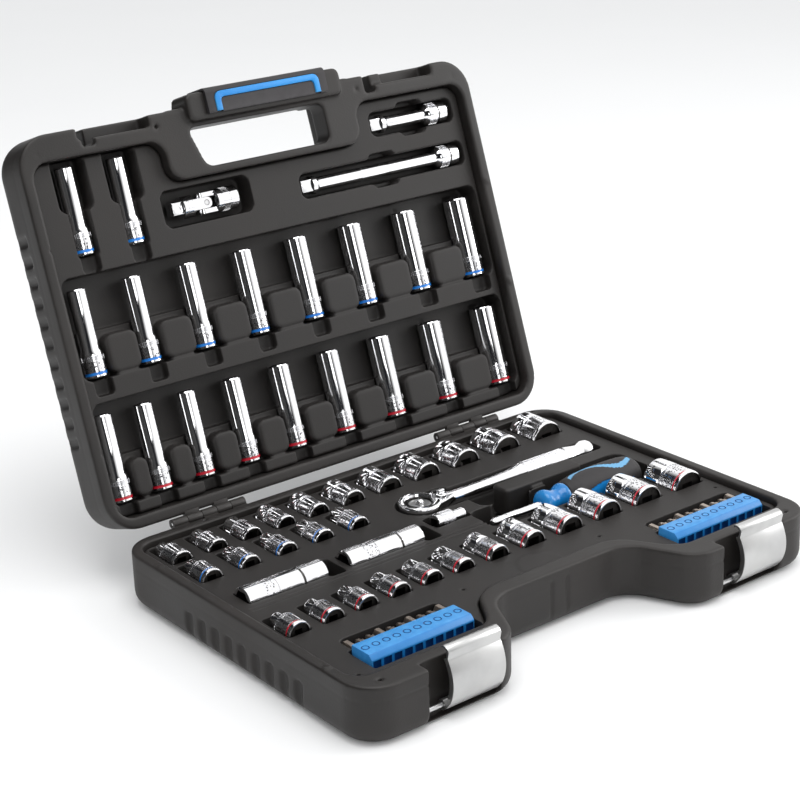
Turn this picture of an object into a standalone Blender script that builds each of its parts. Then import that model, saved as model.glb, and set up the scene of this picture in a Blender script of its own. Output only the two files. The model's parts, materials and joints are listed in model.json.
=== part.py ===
# Socket wrench set in a hinged carrying case, open for use.
# The base lies on its underside at z = 0, the hinge runs along X at the rear (+Y), and the lid leans back.
# Lengths below are millimetres; MM turns them into metres when a mesh is made.
# Lid pieces are drawn in the lid's own frame: x along the hinge, y up the lid from the hinge axis,
# z out of the lid towards the tools' open side, with the rim plane at z = 0.
from math import cos, pi, radians, sin, tan

import bmesh
import bpy
from mathutils import Matrix, Vector

MM = 0.001
GAP = 0.4  # clearance between pieces that sit in each other

# case
HALF_WIDTH = 195.0
REAR = 135.0
FRONT = -137.0
BASE_HEIGHT = 40.0
SHELL_WALL = 3.0
RIM_THICKNESS = 7.0
CORNER_RADIUS = 24.0
RECESS_Y = -90.0  # rear wall of the front recess that the lid's handle hangs in
RECESS_HALF = 58.0
BUMP_HALF = 80.0
BEND_RADIUS = 20.0
EDGE_ROUNDING = ((0.0, 7.0), (3.0, 3.0), (9.0, 0.8), (16.0, 0.0))  # height above the skin, inset
INNER_ROUNDING = ((5.0, 14.0), (9.0, 7.5), (15.0, 4.0), (21.0, 3.0))

# lid
HINGE_Y = 139.0
LEAN_BACK = 18.85  # degrees from vertical
LID_LENGTH = 277.0  # hinge axis to front edge
LID_EDGE = 4.0  # hinge axis to the lid's rear wall
LID_DEPTH = 40.0
RIM_GAP = 0.4
HANDLE_HALF = 66.0
HANDLE_DEPTH = 18.0
GRIP_HOLE = ((-57.0, 234.0), (-66.0, 258.0), (-59.0, 263.0), (55.0, 263.0), (55.0, 234.0))
NOTCH_X = (-140.0, 101.0)
NOTCH_WIDTH = 10.0

# trays
TRAY_TOP = 36.0
TRAY_PLATE = 5.0
TRAY_SIDE = 186.0
TRAY_REAR = 126.0
TRAY_FRONT = -116.0
TRAY_CORNER = 12.0
LID_TRAY_TOP = -8.0
LID_TRAY_PLATE = 5.0
PAD_LEVEL = -12.0
TROUGH_LEVEL = -26.0
TROUGH_FLOOR = -30.0
PAD_VOID_SIDE = 13.0  # from a socket's axis to the hollow behind the pad beside it

# hinges and latches
HINGE_CENTRES = (-120.0, 116.0)
HINGE_SPAN = 60.0
KNUCKLES = 5
KNUCKLE_RADIUS = 3.5
KNUCKLE_GAP = 0.5
HINGE_PIN_RADIUS = 1.2
LATCH_CENTRES = (-113.5, 138.5)
LATCH_WIDTH = 41.0
LATCH_PIN_Y = -130.5
LATCH_PIN_Z = 9.0
LATCH_PIN_RADIUS = 1.5
LATCH_BORE = 2.0
LATCH_KNUCKLE = 3.5
LATCH_SHEET = 1.6
LATCH_POCKET = (-34.0, 22.5)  # left and right of the latch's centre
LATCH_POCKET_Y = -126.4

# tools
TOOL_TOP = 47.0  # nothing in the base stands higher
LID_SINK = 8.0  # nothing in the lid comes nearer to the rim plane
AXIS_Z = 35.0
DRIVE_SQUARE = 9.6
SMALL_DRIVE_END = 17.0
SOCKET_SIDES = 12
REAR_Y = (92.0, 119.0)
SECOND_Y = (56.0, 83.0)
FRONT_Y = -29.5
LONG_Y = 20.0
LONG_SOCKETS = ((-173.0, -110.0), (-92.0, -29.0))
ADAPTER_X = (-8.0, 18.0)
ADAPTER_Y = 28.0
RATCHET_Y = 57.0
RATCHET_HEAD_X = 3.0
RATCHET_END = 167.0
RATCHET_Z = 33.0
DRIVER_Y = 5.0
DRIVER_Z = 33.0
DRIVER_TIP = 24.0
DRIVER_COLLAR = (69.0, 92.0)
DRIVER_END = 163.0
RAILS = (("left", -163.0, -83.0, -102.0, -82.0), ("right", 94.0, 178.0, -104.0, -86.0))
RAIL_Z = (28.0, 40.0)
BITS_PER_RAIL = 10
BIT_RADIUS = 3.2
BIT_LENGTH = 12.0
DEEP_ROWS = (  # name, count, first x, pitch, growth of the pitch, drive end and open end up the lid
    ("upper", 2, -156.5, 40.0, 0.0, 192.5, 253.5),
    ("middle", 8, -169.5, 43.4, 1.66, 110.0, 171.5),
    ("lower", 9, -173.7, 32.3, 3.06, 23.3, 84.8),
)
DEEP_OPEN_END = {"upper": (11.4, 0.4), "middle": (13.0, 1.0), "lower": (12.0, 1.0)}
DEEP_DRIVE_END = {"upper": 16.0, "middle": 16.0, "lower": 16.0}
EXTENSIONS = (("short", 99.5, 176.5, 240.0), ("long", 25.5, 178.5, 206.0))
JOINT_X = (-83.0, -28.5)
JOINT_Y = 210.0

PLASTIC = ("case_plastic", (0.045, 0.040, 0.038), 0.6, 0.0)
TRAY_PLASTIC = ("tray_plastic", (0.040, 0.036, 0.034), 0.65, 0.0)
CHROME = ("chrome", (0.80, 0.80, 0.82), 0.12, 1.0)
SATIN = ("satin_steel", (0.68, 0.67, 0.66), 0.35, 1.0)
BLUE = ("blue_plastic", (0.02, 0.28, 0.65), 0.4, 0.0)
RUBBER = ("black_rubber", (0.03, 0.03, 0.033), 0.7, 0.0)


def clear_scene():
    for obj in list(bpy.data.objects):
        bpy.data.objects.remove(obj, do_unlink=True)


def material(spec):
    name, colour, roughness, metallic = spec
    found = bpy.data.materials.get(name)
    if found:
        return found
    made = bpy.data.materials.new(name)
    made.use_nodes = True
    shader = made.node_tree.nodes["Principled BSDF"]
    shader.inputs["Base Color"].default_value = (*colour, 1.0)
    shader.inputs["Roughness"].default_value = roughness
    shader.inputs["Metallic"].default_value = metallic
    made.diffuse_color = (*colour, 1.0)
    return made


def object_from(name, bm, spec=None, parent=None, at=(0.0, 0.0, 0.0)):
    """Makes an object from a bmesh in millimetres, with its origin at the given point of its parent's frame."""
    bmesh.ops.recalc_face_normals(bm, faces=bm.faces)
    bmesh.ops.transform(bm, matrix=scaled(at), verts=bm.verts)
    mesh = bpy.data.meshes.new(name)
    bm.to_mesh(mesh)
    bm.free()
    mesh.shade_smooth()
    mesh.set_sharp_from_angle(angle=radians(35))
    obj = bpy.data.objects.new(name, mesh)
    bpy.context.scene.collection.objects.link(obj)
    obj.location = Vector(at) * MM
    obj.parent = parent
    if spec:
        mesh.materials.append(material(spec))
    return obj


def scaled(at):
    return Matrix.Scale(MM, 4) @ Matrix.Translation(-Vector(at))


def helper(obj):
    obj.hide_render = True
    obj.display_type = "WIRE"
    return obj


def combine(obj, other, operation):
    """Adds a Boolean modifier that joins the helper to the object or cuts it away."""
    helper(other)
    modifier = obj.modifiers.new(other.name, "BOOLEAN")
    modifier.operation = operation
    modifier.solver = "EXACT"
    modifier.object = other
    return obj


def join(obj, other):
    return combine(obj, other, "UNION")


def cut(obj, other):
    return combine(obj, other, "DIFFERENCE")


# outlines


def inset(points, distance):
    """Moves every edge of a counter-clockwise polygon inwards."""
    count = len(points)
    moved = []
    for i in range(count):
        before, here, after = points[i - 1], points[i], points[(i + 1) % count]
        a = Vector((here[0] - before[0], here[1] - before[1])).normalized()
        b = Vector((after[0] - here[0], after[1] - here[1])).normalized()
        normal_a, normal_b = Vector((-a.y, a.x)), Vector((-b.y, b.x))
        bisector = (normal_a + normal_b).normalized()
        reach = distance / bisector.dot(normal_a)
        moved.append((here[0] + bisector.x * reach, here[1] + bisector.y * reach))
    return moved


def rounded(points, radii, steps=5):
    """A polygon with each corner turned into an arc of its radius."""
    count = len(points)
    made = []
    for i in range(count):
        before, here, after = (Vector(points[j % count]) for j in (i - 1, i, i + 1))
        to_before, to_after = (before - here).normalized(), (after - here).normalized()
        half = to_before.angle(to_after) / 2
        radius = radii[i]
        if radius < 0.2:
            made.append(tuple(here))
            continue
        reach = radius / tan(half)
        centre = here + (to_before + to_after).normalized() * (radius / sin(half))
        start, end = here + to_before * reach - centre, here + to_after * reach - centre
        turn = start.angle_signed(end)
        for step in range(steps + 1):
            angle = -turn * step / steps
            spun = Vector((start.x * cos(angle) - start.y * sin(angle), start.x * sin(angle) + start.y * cos(angle)))
            made.append(tuple(centre + spun))
    return made


def corner_radii(points, radius, distance):
    """Radii for an inset copy: outer corners shrink and inner corners grow."""
    count = len(points)
    radii = []
    for i in range(count):
        before, here, after = (Vector(points[j % count]) for j in (i - 1, i, i + 1))
        convex = (here - before).cross(after - here) > 0
        base = radius if abs(here.x) > BUMP_HALF + 1 else BEND_RADIUS
        radii.append(max(1.0, base - distance if convex else base + distance))
    return radii


def outline(points, distance=0.0, radius=CORNER_RADIUS, steps=5):
    return rounded(inset(points, distance), corner_radii(points, radius, distance), steps)


def loft(rings):
    """A closed solid through rings of equal length, each given as (z, outline)."""
    bm = bmesh.new()
    loops = [[bm.verts.new((x, y, z)) for x, y in points] for z, points in rings]
    for lower, upper in zip(loops, loops[1:]):
        for i in range(len(lower)):
            j = (i + 1) % len(lower)
            bm.faces.new((lower[i], lower[j], upper[j], upper[i]))
    bm.faces.new(list(reversed(loops[0])))
    bm.faces.new(loops[-1])
    return bm


def prism(points, low, high):
    return loft(((low, points), (high, points)))


def box(x0, x1, y0, y1, z0, z1):
    return prism(((x0, y0), (x1, y0), (x1, y1), (x0, y1)), z0, z1)


def base_points():
    return [
        (-HALF_WIDTH, FRONT),
        (-BUMP_HALF, FRONT),
        (-RECESS_HALF, RECESS_Y),
        (RECESS_HALF, RECESS_Y),
        (BUMP_HALF, FRONT),
        (HALF_WIDTH, FRONT),
        (HALF_WIDTH, REAR),
        (-HALF_WIDTH, REAR),
    ]


def lid_points():
    return [
        (-HALF_WIDTH, LID_EDGE),
        (HALF_WIDTH, LID_EDGE),
        (HALF_WIDTH, LID_LENGTH),
        (-HALF_WIDTH, LID_LENGTH),
    ]


def base_tray_points():
    return [
        (-TRAY_SIDE, TRAY_FRONT),
        (-84.0, TRAY_FRONT),
        (-60.0, -76.0),
        (60.0, -76.0),
        (84.0, TRAY_FRONT),
        (TRAY_SIDE, TRAY_FRONT),
        (TRAY_SIDE, TRAY_REAR),
        (-TRAY_SIDE, TRAY_REAR),
    ]


def lid_tray_points():
    top, notch = LID_LENGTH - 19.0, 228.0
    return [
        (-TRAY_SIDE, LID_EDGE + 9.0),
        (TRAY_SIDE, LID_EDGE + 9.0),
        (TRAY_SIDE, top),
        (84.0, top),
        (84.0, notch),
        (-84.0, notch),
        (-84.0, top),
        (-TRAY_SIDE, top),
    ]


# turned and drawn shapes


def ring_at(along, points):
    """Points in the plane across the Y axis, as (x, z) pairs, placed at a distance along it."""
    return [(x, along, z) for x, z in points]


def circle(radius, sides=SOCKET_SIDES):
    return [
        (radius * cos(2 * pi * (i + 0.5) / sides), radius * sin(2 * pi * (i + 0.5) / sides))
        for i in range(sides)
    ]


def polygon_ring(corners, half_across, sides=SOCKET_SIDES):
    """A hexagon or square, sampled at as many points as a circle so that rings can be bridged."""
    made = []
    for i in range(sides):
        angle = 2 * pi * (i + 0.5) / sides
        sector = 2 * pi / corners
        off = (angle + sector / 2) % sector - sector / 2
        reach = half_across / cos(off)
        made.append((reach * cos(angle), reach * sin(angle)))
    return made


def tube(rings):
    """A closed ring-shaped solid: the rings run along the outside and back along the bore."""
    bm = bmesh.new()
    loops = [[bm.verts.new(point) for point in ring] for ring in rings]
    for k, loop in enumerate(loops):
        follower = loops[(k + 1) % len(loops)]
        for i in range(len(loop)):
            j = (i + 1) % len(loop)
            bm.faces.new((loop[i], loop[j], follower[j], follower[i]))
    return bm


def turned(profile, sides=SOCKET_SIDES):
    """A solid of revolution about the Y axis from (y, radius) pairs, closed at both ends."""
    bm = bmesh.new()
    loops = [[bm.verts.new(point) for point in ring_at(y, circle(r, sides))] for y, r in profile]
    for lower, upper in zip(loops, loops[1:]):
        for i in range(sides):
            j = (i + 1) % sides
            bm.faces.new((lower[i], lower[j], upper[j], upper[i]))
    bm.faces.new(loops[0])
    bm.faces.new(list(reversed(loops[-1])))
    return bm


def placed(bm, x=0.0, y=0.0, z=0.0, along_x=False):
    """Moves a shape into place; a shape drawn along Y can first be laid along X."""
    if along_x:
        for vert in bm.verts:
            vert.co = Vector((vert.co.y, -vert.co.x, vert.co.z))
    bmesh.ops.translate(bm, vec=(x, y, z), verts=bm.verts)
    return bm


def rod(radius, length, sides=SOCKET_SIDES):
    return turned(((-length / 2, radius), (length / 2, radius)), sides)


def trough(radius, length, rise, sides=5):
    """A U-shaped bar along Y: a half-round underside and straight sides that rise above the axis."""
    points = [(radius * cos(pi + pi * i / sides), radius * sin(pi + pi * i / sides)) for i in range(sides + 1)]
    points += [(radius, rise), (-radius, rise)]
    bm = bmesh.new()
    loops = [[bm.verts.new((x, y, z)) for x, z in points] for y in (-length / 2, length / 2)]
    for i in range(len(points)):
        j = (i + 1) % len(points)
        bm.faces.new((loops[0][i], loops[0][j], loops[1][j], loops[1][i]))
    bm.faces.new(loops[0])
    bm.faces.new(list(reversed(loops[1])))
    return bm


def spread(first, pitch, growth, count, steady):
    """Places along a row whose pitch is steady at first and then grows with the tools."""
    places = [first]
    for i in range(count - 1):
        places.append(places[-1] + pitch + growth * max(0, i - steady))
    return places


# sockets


def across_flats(outer):
    return (outer - 2.2) / 1.25


def socket_solid(outer, drive_end, length):
    """A socket along Y with its drive end at -Y: knurled drive end, stepped body, hexagon and square."""
    half = length / 2
    body = drive_end / 2
    open_end = outer / 2
    shoulder = -half + min(0.62 * length, 18.0)
    bottom = -half + 10.5
    hexagon = across_flats(outer) / 2
    square = min(DRIVE_SQUARE, drive_end - 5.0) / 2
    rings = (
        ring_at(-half, circle(body)),
        ring_at(shoulder, circle(body)),
        ring_at(shoulder + max(0.6, (body - open_end) * 0.8), circle(open_end)),
        ring_at(half, circle(open_end)),
        ring_at(half, polygon_ring(6, hexagon)),
        ring_at(bottom, polygon_ring(6, hexagon)),
        ring_at(bottom, polygon_ring(4, min(square, hexagon - 0.3))),
        ring_at(-half, polygon_ring(4, min(square, hexagon - 0.3))),
    )
    return tube(rings)


def front_sockets():
    """Name, place, size and height of each socket in the base's front row."""
    count = 12
    places = spread(-172.5, 26.6, 2.2, count, 4)
    found = []
    for i, x in enumerate(places):
        sixteenths = 4.0 + 0.5 * min(i, 4) + max(0, i - 4)
        outer = 2.2 + 1.25 * sixteenths * 25.4 / 16
        drive_end = max(SMALL_DRIVE_END, outer)
        length = 26.0 + 6.0 * max(0, i - 4) / (count - 5)
        z = min(AXIS_Z, TOOL_TOP - drive_end / 2)
        found.append((f"front_socket_{i + 1:02d}", x, outer, drive_end, length, z))
    return found


def deep_sockets():
    found = []
    for row, count, first, pitch, growth, low, high in DEEP_ROWS:
        start, step = DEEP_OPEN_END[row]
        places = [first + pitch * i + growth / 2 * i * (i - 1) for i in range(count)]
        for i, x in enumerate(places):
            outer = start + step * i
            drive_end = max(DEEP_DRIVE_END[row], outer)
            z = -(LID_SINK + drive_end / 2)
            found.append((f"deep_socket_{row}_{i + 1}", x, outer, drive_end, low, high, z))
    return found


def rear_pockets():
    """Places and drive ends of the rear and second rows, whose sockets are not part of this model."""
    found = []
    for i, x in enumerate(spread(-171.0, 28.2, 2.2, 11, 3)):
        drive_end = max(SMALL_DRIVE_END, 2.2 + 1.25 * (6.0 + 1.4 * i) + 1.5)
        found.append((x, drive_end, REAR_Y))
    for x in spread(-171.0, 30.2, 0.0, 5, 0):
        found.append((x, SMALL_DRIVE_END, SECOND_Y))
    return found


def make_sockets(lid):
    for name, x, outer, drive_end, length, z in front_sockets():
        bm = placed(socket_solid(outer, drive_end, length), x, FRONT_Y, z)
        object_from(name, bm, CHROME, at=(x, FRONT_Y, z))
    for name, x, outer, drive_end, low, high, z in deep_sockets():
        middle = (low + high) / 2
        bm = placed(socket_solid(outer, drive_end, high - low), x, middle, z)
        object_from(name, bm, CHROME, lid, at=(x, middle, z))
    for number, (x0, x1) in enumerate(LONG_SOCKETS):
        middle = (x0 + x1) / 2
        bm = placed(socket_solid(19.0, 18.0, x1 - x0), middle, LONG_Y, AXIS_Z - 1, along_x=True)
        object_from(f"long_socket_{number + 1}", bm, CHROME, at=(middle, LONG_Y, AXIS_Z - 1))


# shells


def shell_rings(points, rounding, top, sign=1.0):
    """Rings of a shell from its rounded underside up to its rim; sign turns it over for the lid."""
    rings = [(sign * height, outline(points, distance)) for height, distance in rounding]
    return rings + [(sign * top, outline(points, rounding[-1][1]))]


def make_base_shell():
    points = base_points()
    shell = object_from("base_shell", loft(shell_rings(points, EDGE_ROUNDING, BASE_HEIGHT)), PLASTIC)
    hollow = loft(shell_rings(points, INNER_ROUNDING, BASE_HEIGHT - RIM_THICKNESS))
    cut(shell, object_from("base_hollow", hollow))
    opening = prism(outline(base_tray_points(), -GAP, TRAY_CORNER), BASE_HEIGHT - RIM_THICKNESS - 3.0, BASE_HEIGHT + 5.0)
    cut(shell, object_from("base_tray_opening", opening))
    for side, x in zip(("left", "right"), LATCH_CENTRES):
        left, right = x + LATCH_POCKET[0], x + LATCH_POCKET[1]
        block = box(left - 4.0, right + 4.0, FRONT + 1.5, LATCH_POCKET_Y + 4.0, 3.0, BASE_HEIGHT - 0.5)
        join(shell, object_from(f"latch_block_{side}", block))
        pocket = box(left, right, FRONT - 12.0, LATCH_POCKET_Y, 2.5, BASE_HEIGHT + 5.0)
        cut(shell, object_from(f"latch_pocket_{side}", pocket))
        hole = rod(LATCH_PIN_RADIUS + GAP, right - left + 5.0, 8)
        hole = placed(hole, (left + right) / 2, LATCH_PIN_Y, LATCH_PIN_Z, along_x=True)
        cut(shell, object_from(f"latch_pin_hole_{side}", hole))
    groove = box(-7.5, 7.5, RECESS_Y - 5.0, RECESS_Y + 1.2, 6.0, BASE_HEIGHT - 5.0)
    cut(shell, object_from("recess_groove", groove))
    add_base_knuckles(shell)
    return shell


def knuckle_places(centre, first):
    """Middle and length of every other knuckle of a hinge group."""
    pitch = HINGE_SPAN / KNUCKLES
    return [
        (centre - HINGE_SPAN / 2 + pitch * (i + 0.5), pitch - KNUCKLE_GAP)
        for i in range(first, KNUCKLES, 2)
    ]


def add_base_knuckles(shell):
    for group, centre in enumerate(HINGE_CENTRES):
        for i, (x, length) in enumerate(knuckle_places(centre, 0)):
            knuckle = placed(rod(KNUCKLE_RADIUS, length, 10), x, HINGE_Y, BASE_HEIGHT, along_x=True)
            join(shell, object_from(f"base_knuckle_{group}_{i}", knuckle))
            web = box(x - length / 2, x + length / 2, REAR - 2.0, HINGE_Y + 0.5, BASE_HEIGHT - 3.2, BASE_HEIGHT - 0.4)
            join(shell, object_from(f"base_web_{group}_{i}", web))
        bore = rod(HINGE_PIN_RADIUS + 0.35, HINGE_SPAN + 4.0, 8)
        bore = placed(bore, centre, HINGE_Y, BASE_HEIGHT, along_x=True)
        cut(shell, object_from(f"base_hinge_bore_{group}", bore))


def lid_cavity_points():
    side, top, notch = HALF_WIDTH - SHELL_WALL, LID_LENGTH - SHELL_WALL, 226.5
    return [
        (-side, LID_EDGE + SHELL_WALL),
        (side, LID_EDGE + SHELL_WALL),
        (side, top),
        (HANDLE_HALF + 5.0, top),
        (HANDLE_HALF + 5.0, notch),
        (-HANDLE_HALF - 5.0, notch),
        (-HANDLE_HALF - 5.0, top),
        (-side, top),
    ]


def make_lid_shell(lid):
    rings = shell_rings(lid_points(), EDGE_ROUNDING, LID_DEPTH - RIM_GAP)
    bm = loft([(height - LID_DEPTH, points) for height, points in rings])
    shell = object_from("lid_shell", bm, PLASTIC, lid)
    inner = [(3.0, 12.0), (7.0, 5.0), (14.0, 1.5), (21.0, 0.0), (LID_DEPTH - RIM_THICKNESS, 0.0)]
    rings = [(height - LID_DEPTH, outline(lid_cavity_points(), d, 20.0)) for height, d in inner]
    cut(shell, object_from("lid_hollow", loft(rings), parent=lid))
    opening = prism(outline(lid_tray_points(), -GAP, TRAY_CORNER), LID_TRAY_TOP - LID_TRAY_PLATE - 1.0, 5.0)
    cut(shell, object_from("lid_tray_opening", opening, parent=lid))
    back = box(-HANDLE_HALF, HANDLE_HALF, 229.5, LID_LENGTH + 10.0, -LID_DEPTH - 5.0, -HANDLE_DEPTH)
    cut(shell, object_from("handle_back_recess", back, parent=lid))
    grip_hole = prism(rounded(GRIP_HOLE[::-1], (5.0,) * 5), -LID_DEPTH, 10.0)
    bar = prism(rounded(((-61.0, 268.0), (73.0, 268.0), (73.0, 286.0), (-61.0, 286.0)), (1.0, 1.0, 6.0, 6.0), 3), -18.0, 4.0)
    join(shell, object_from("handle_bar", bar, parent=lid))
    cut(shell, object_from("handle_hole", grip_hole, parent=lid))
    add_lid_catches(shell, lid)
    add_lid_knuckles(shell, lid)
    return shell


def add_lid_catches(shell, lid):
    """Blocks behind the front edge with the ledges that the latches hook over, and the notches beside them."""
    ledge = HINGE_Y - LATCH_PIN_Y - 0.8
    for side, x, notch in zip(("left", "right"), LATCH_CENTRES, NOTCH_X):
        left, right = min(x + LATCH_POCKET[0], notch - NOTCH_WIDTH / 2), x + LATCH_POCKET[1]
        block = box(left - 3.0, right + 3.0, ledge - 10.0, LID_LENGTH - 1.5, -LID_DEPTH + 4.0, -RIM_GAP - 0.3)
        join(shell, object_from(f"catch_block_{side}", block, parent=lid))
        step = box(left, right, ledge, LID_LENGTH + 10.0, -6.5, 5.0)
        cut(shell, object_from(f"catch_step_{side}", step, parent=lid))
        hook_room = box(x - LATCH_WIDTH / 2 - 1.5, right, ledge - 5.0, LID_LENGTH + 10.0, -16.0, -6.5)
        cut(shell, object_from(f"catch_room_{side}", hook_room, parent=lid))
        slot = box(notch - NOTCH_WIDTH / 2, notch + NOTCH_WIDTH / 2, ledge - 5.0, LID_LENGTH + 10.0, -LID_DEPTH - 5.0, 5.0)
        cut(shell, object_from(f"catch_notch_{side}", slot, parent=lid))


def add_lid_knuckles(shell, lid):
    for group, centre in enumerate(HINGE_CENTRES):
        for i, (x, length) in enumerate(knuckle_places(centre, 1)):
            knuckle = placed(rod(KNUCKLE_RADIUS, length, 10), x, 0.0, 0.0, along_x=True)
            join(shell, object_from(f"lid_knuckle_{group}_{i}", knuckle, parent=lid))
            web = box(x - length / 2, x + length / 2, -0.5, LID_EDGE + 2.0, -3.2, -0.5)
            join(shell, object_from(f"lid_web_{group}_{i}", web, parent=lid))
        bore = placed(rod(HINGE_PIN_RADIUS + 0.35, HINGE_SPAN + 4.0, 8), centre, 0.0, 0.0, along_x=True)
        cut(shell, object_from(f"lid_hinge_bore_{group}", bore, parent=lid))


def make_hinge_pins():
    for side, centre in zip(("left", "right"), HINGE_CENTRES):
        at = (centre, HINGE_Y, BASE_HEIGHT)
        bm = placed(rod(HINGE_PIN_RADIUS, HINGE_SPAN - 1.0, 8), *at, along_x=True)
        object_from(f"hinge_pin_{side}", bm, SATIN, at=at)


# trays


def cup(radius, length, x, y, z, along_x=False):
    """A formed pocket as its outer and inner troughs."""
    outer = placed(trough(radius + 2.4, length + 4.4, TRAY_TOP - z - 1.0), x, y, z, along_x)
    inner = placed(trough(radius + 0.7, length + 1.2, TRAY_TOP - z + 8.0), x, y, z, along_x)
    return outer, inner


def base_tray_cups():
    """Every formed pocket of the base tray, as pairs of outer and inner shapes."""
    cups = []
    for x, drive_end, (y0, y1) in rear_pockets():
        z = min(AXIS_Z, TOOL_TOP - drive_end / 2)
        cups.append(cup(drive_end / 2, y1 - y0 + 2.0, x, (y0 + y1) / 2, z))
    for _, x, _, drive_end, length, z in front_sockets():
        cups.append(cup(drive_end / 2, length + 2.0, x, FRONT_Y, z))
    for x0, x1 in LONG_SOCKETS:
        cups.append(cup(9.5, x1 - x0 + 2.0, (x0 + x1) / 2, LONG_Y, AXIS_Z - 1, True))
    x0, x1 = ADAPTER_X
    cups.append(cup(7.0, x1 - x0 + 2.0, (x0 + x1) / 2, ADAPTER_Y, AXIS_Z, True))
    cups += ratchet_cups() + driver_cups()
    for _, x0, x1, y0, y1 in RAILS:
        wall = box(x0 - 3.0, x1 + 3.0, y0 - 3.0, y1 + BIT_LENGTH + 4.0, RAIL_Z[0] - 3.0, TRAY_TOP - 1.0)
        room = box(x0 - 0.8, x1 + 0.8, y0 - 0.8, y1 + BIT_LENGTH + 1.5, RAIL_Z[0] - 0.6, TRAY_TOP + 8.0)
        cups.append((wall, room))
    return cups


def ratchet_cups():
    """A well for the head and the square below it, and a channel for the handle."""
    unit = circle(1.0, 14)
    outer = [(RATCHET_HEAD_X + 19.0 * x + 14.0 * (x > 0), RATCHET_Y + 19.0 * y) for x, y in unit]
    inner = [(RATCHET_HEAD_X + 16.6 * x + 14.0 * (x > 0), RATCHET_Y + 16.6 * y) for x, y in unit]
    well = prism(outer, 11.0, TRAY_TOP - 1.0), prism(inner, 13.4, TRAY_TOP + 8.0)
    length = RATCHET_END - RATCHET_HEAD_X - 8.0
    middle = RATCHET_HEAD_X + 8.0 + length / 2
    return [well, cup(9.6, length, middle, RATCHET_Y, RATCHET_Z, True)]


def driver_cups():
    """A well with room for fingers behind the handle, and the handle's own trough."""
    x0, x1, y = DRIVER_TIP, DRIVER_END, DRIVER_Y
    wall = box(x0 - 4.0, x1 + 5.0, y - 11.5, y + 17.5, 13.0, TRAY_TOP - 1.0)
    room = box(x0 - 2.0, x1 + 3.0, y - 9.0, y + 15.5, 15.5, TRAY_TOP + 8.0)
    return [(wall, room), cup(15.0, x1 - x0 + 2.0, (x0 + x1) / 2, y, DRIVER_Z, True)]


def make_base_tray():
    points = outline(base_tray_points(), 0.0, TRAY_CORNER)
    tray = object_from("base_tray", prism(points, TRAY_TOP - TRAY_PLATE, TRAY_TOP), TRAY_PLASTIC)
    cups = base_tray_cups()
    for i, (outer, _) in enumerate(cups):
        join(tray, object_from(f"cup_wall_{i}", outer))
    for i, (_, inner) in enumerate(cups):
        cut(tray, object_from(f"cup_hollow_{i}", inner))


def make_lid_tray(lid):
    points = outline(lid_tray_points(), 0.0, TRAY_CORNER)
    bm = prism(points, LID_TRAY_TOP - LID_TRAY_PLATE, LID_TRAY_TOP)
    tray = object_from("lid_tray", bm, TRAY_PLASTIC, lid)
    side = TRAY_SIDE - 1.5
    rows = {"lower": (-side, side, 20.0, 92.0, 64.0), "middle": (-side, side, 106.5, 178.5, 150.0)}
    rows["upper"] = (-side + 6.0, -104.0, 189.0, 256.0, 231.0)
    for row, (x0, x1, y0, y1, split) in rows.items():
        wall = box(x0, x1, y0, y1, TROUGH_FLOOR, LID_TRAY_TOP - 1.0)
        join(tray, object_from(f"{row}_row_wall", wall, parent=lid))
        pads = box(x0 + 2.5, x1 - 2.5, y0 + 2.5, split + 1.0, PAD_LEVEL, 5.0)
        cut(tray, object_from(f"{row}_pads", pads, parent=lid))
        deep = box(x0 + 2.5, x1 - 2.5, split, y1 - 2.5, TROUGH_LEVEL, 5.0)
        cut(tray, object_from(f"{row}_trough", deep, parent=lid))
    for name, x, _, drive_end, low, high, z in deep_sockets():
        pocket = placed(trough(drive_end / 2 + 0.7, high - low + 2.0, 20.0), x, (low + high) / 2, z)
        cut(tray, object_from(f"{name}_pocket", pocket, parent=lid))
    for row, count, first, pitch, growth, low, _ in DEEP_ROWS[1:]:
        places = [first + pitch * i + growth / 2 * i * (i - 1) for i in range(count)]
        for i, (a, b) in enumerate(zip(places, places[1:])):
            void = box(a + PAD_VOID_SIDE, b - PAD_VOID_SIDE, low + 3.0, low + 36.0, TROUGH_FLOOR - 4.0, PAD_LEVEL - 2.5)
            cut(tray, object_from(f"{row}_pad_void_{i}", void, parent=lid))
    for name, x0, x1, y in EXTENSIONS:
        add_lid_well(tray, lid, f"extension_{name}", x0 - 3.0, x1 - 1.5, y - 10.5, y + 10.5, LID_SINK + 18.5)
    add_lid_well(tray, lid, "joint", JOINT_X[0] - 6.0, JOINT_X[1] + 7.0, JOINT_Y - 13.0, JOINT_Y + 10.0, LID_SINK + 18.5)
    return tray


def add_lid_well(tray, lid, name, x0, x1, y0, y1, depth):
    wall = box(x0 - 2.4, x1 + 2.4, y0 - 2.4, y1 + 2.4, -depth - 2.4, LID_TRAY_TOP - 1.0)
    join(tray, object_from(f"{name}_well_wall", wall, parent=lid))
    cut(tray, object_from(f"{name}_well", box(x0, x1, y0, y1, -depth, 5.0), parent=lid))


# handle, latches


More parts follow.
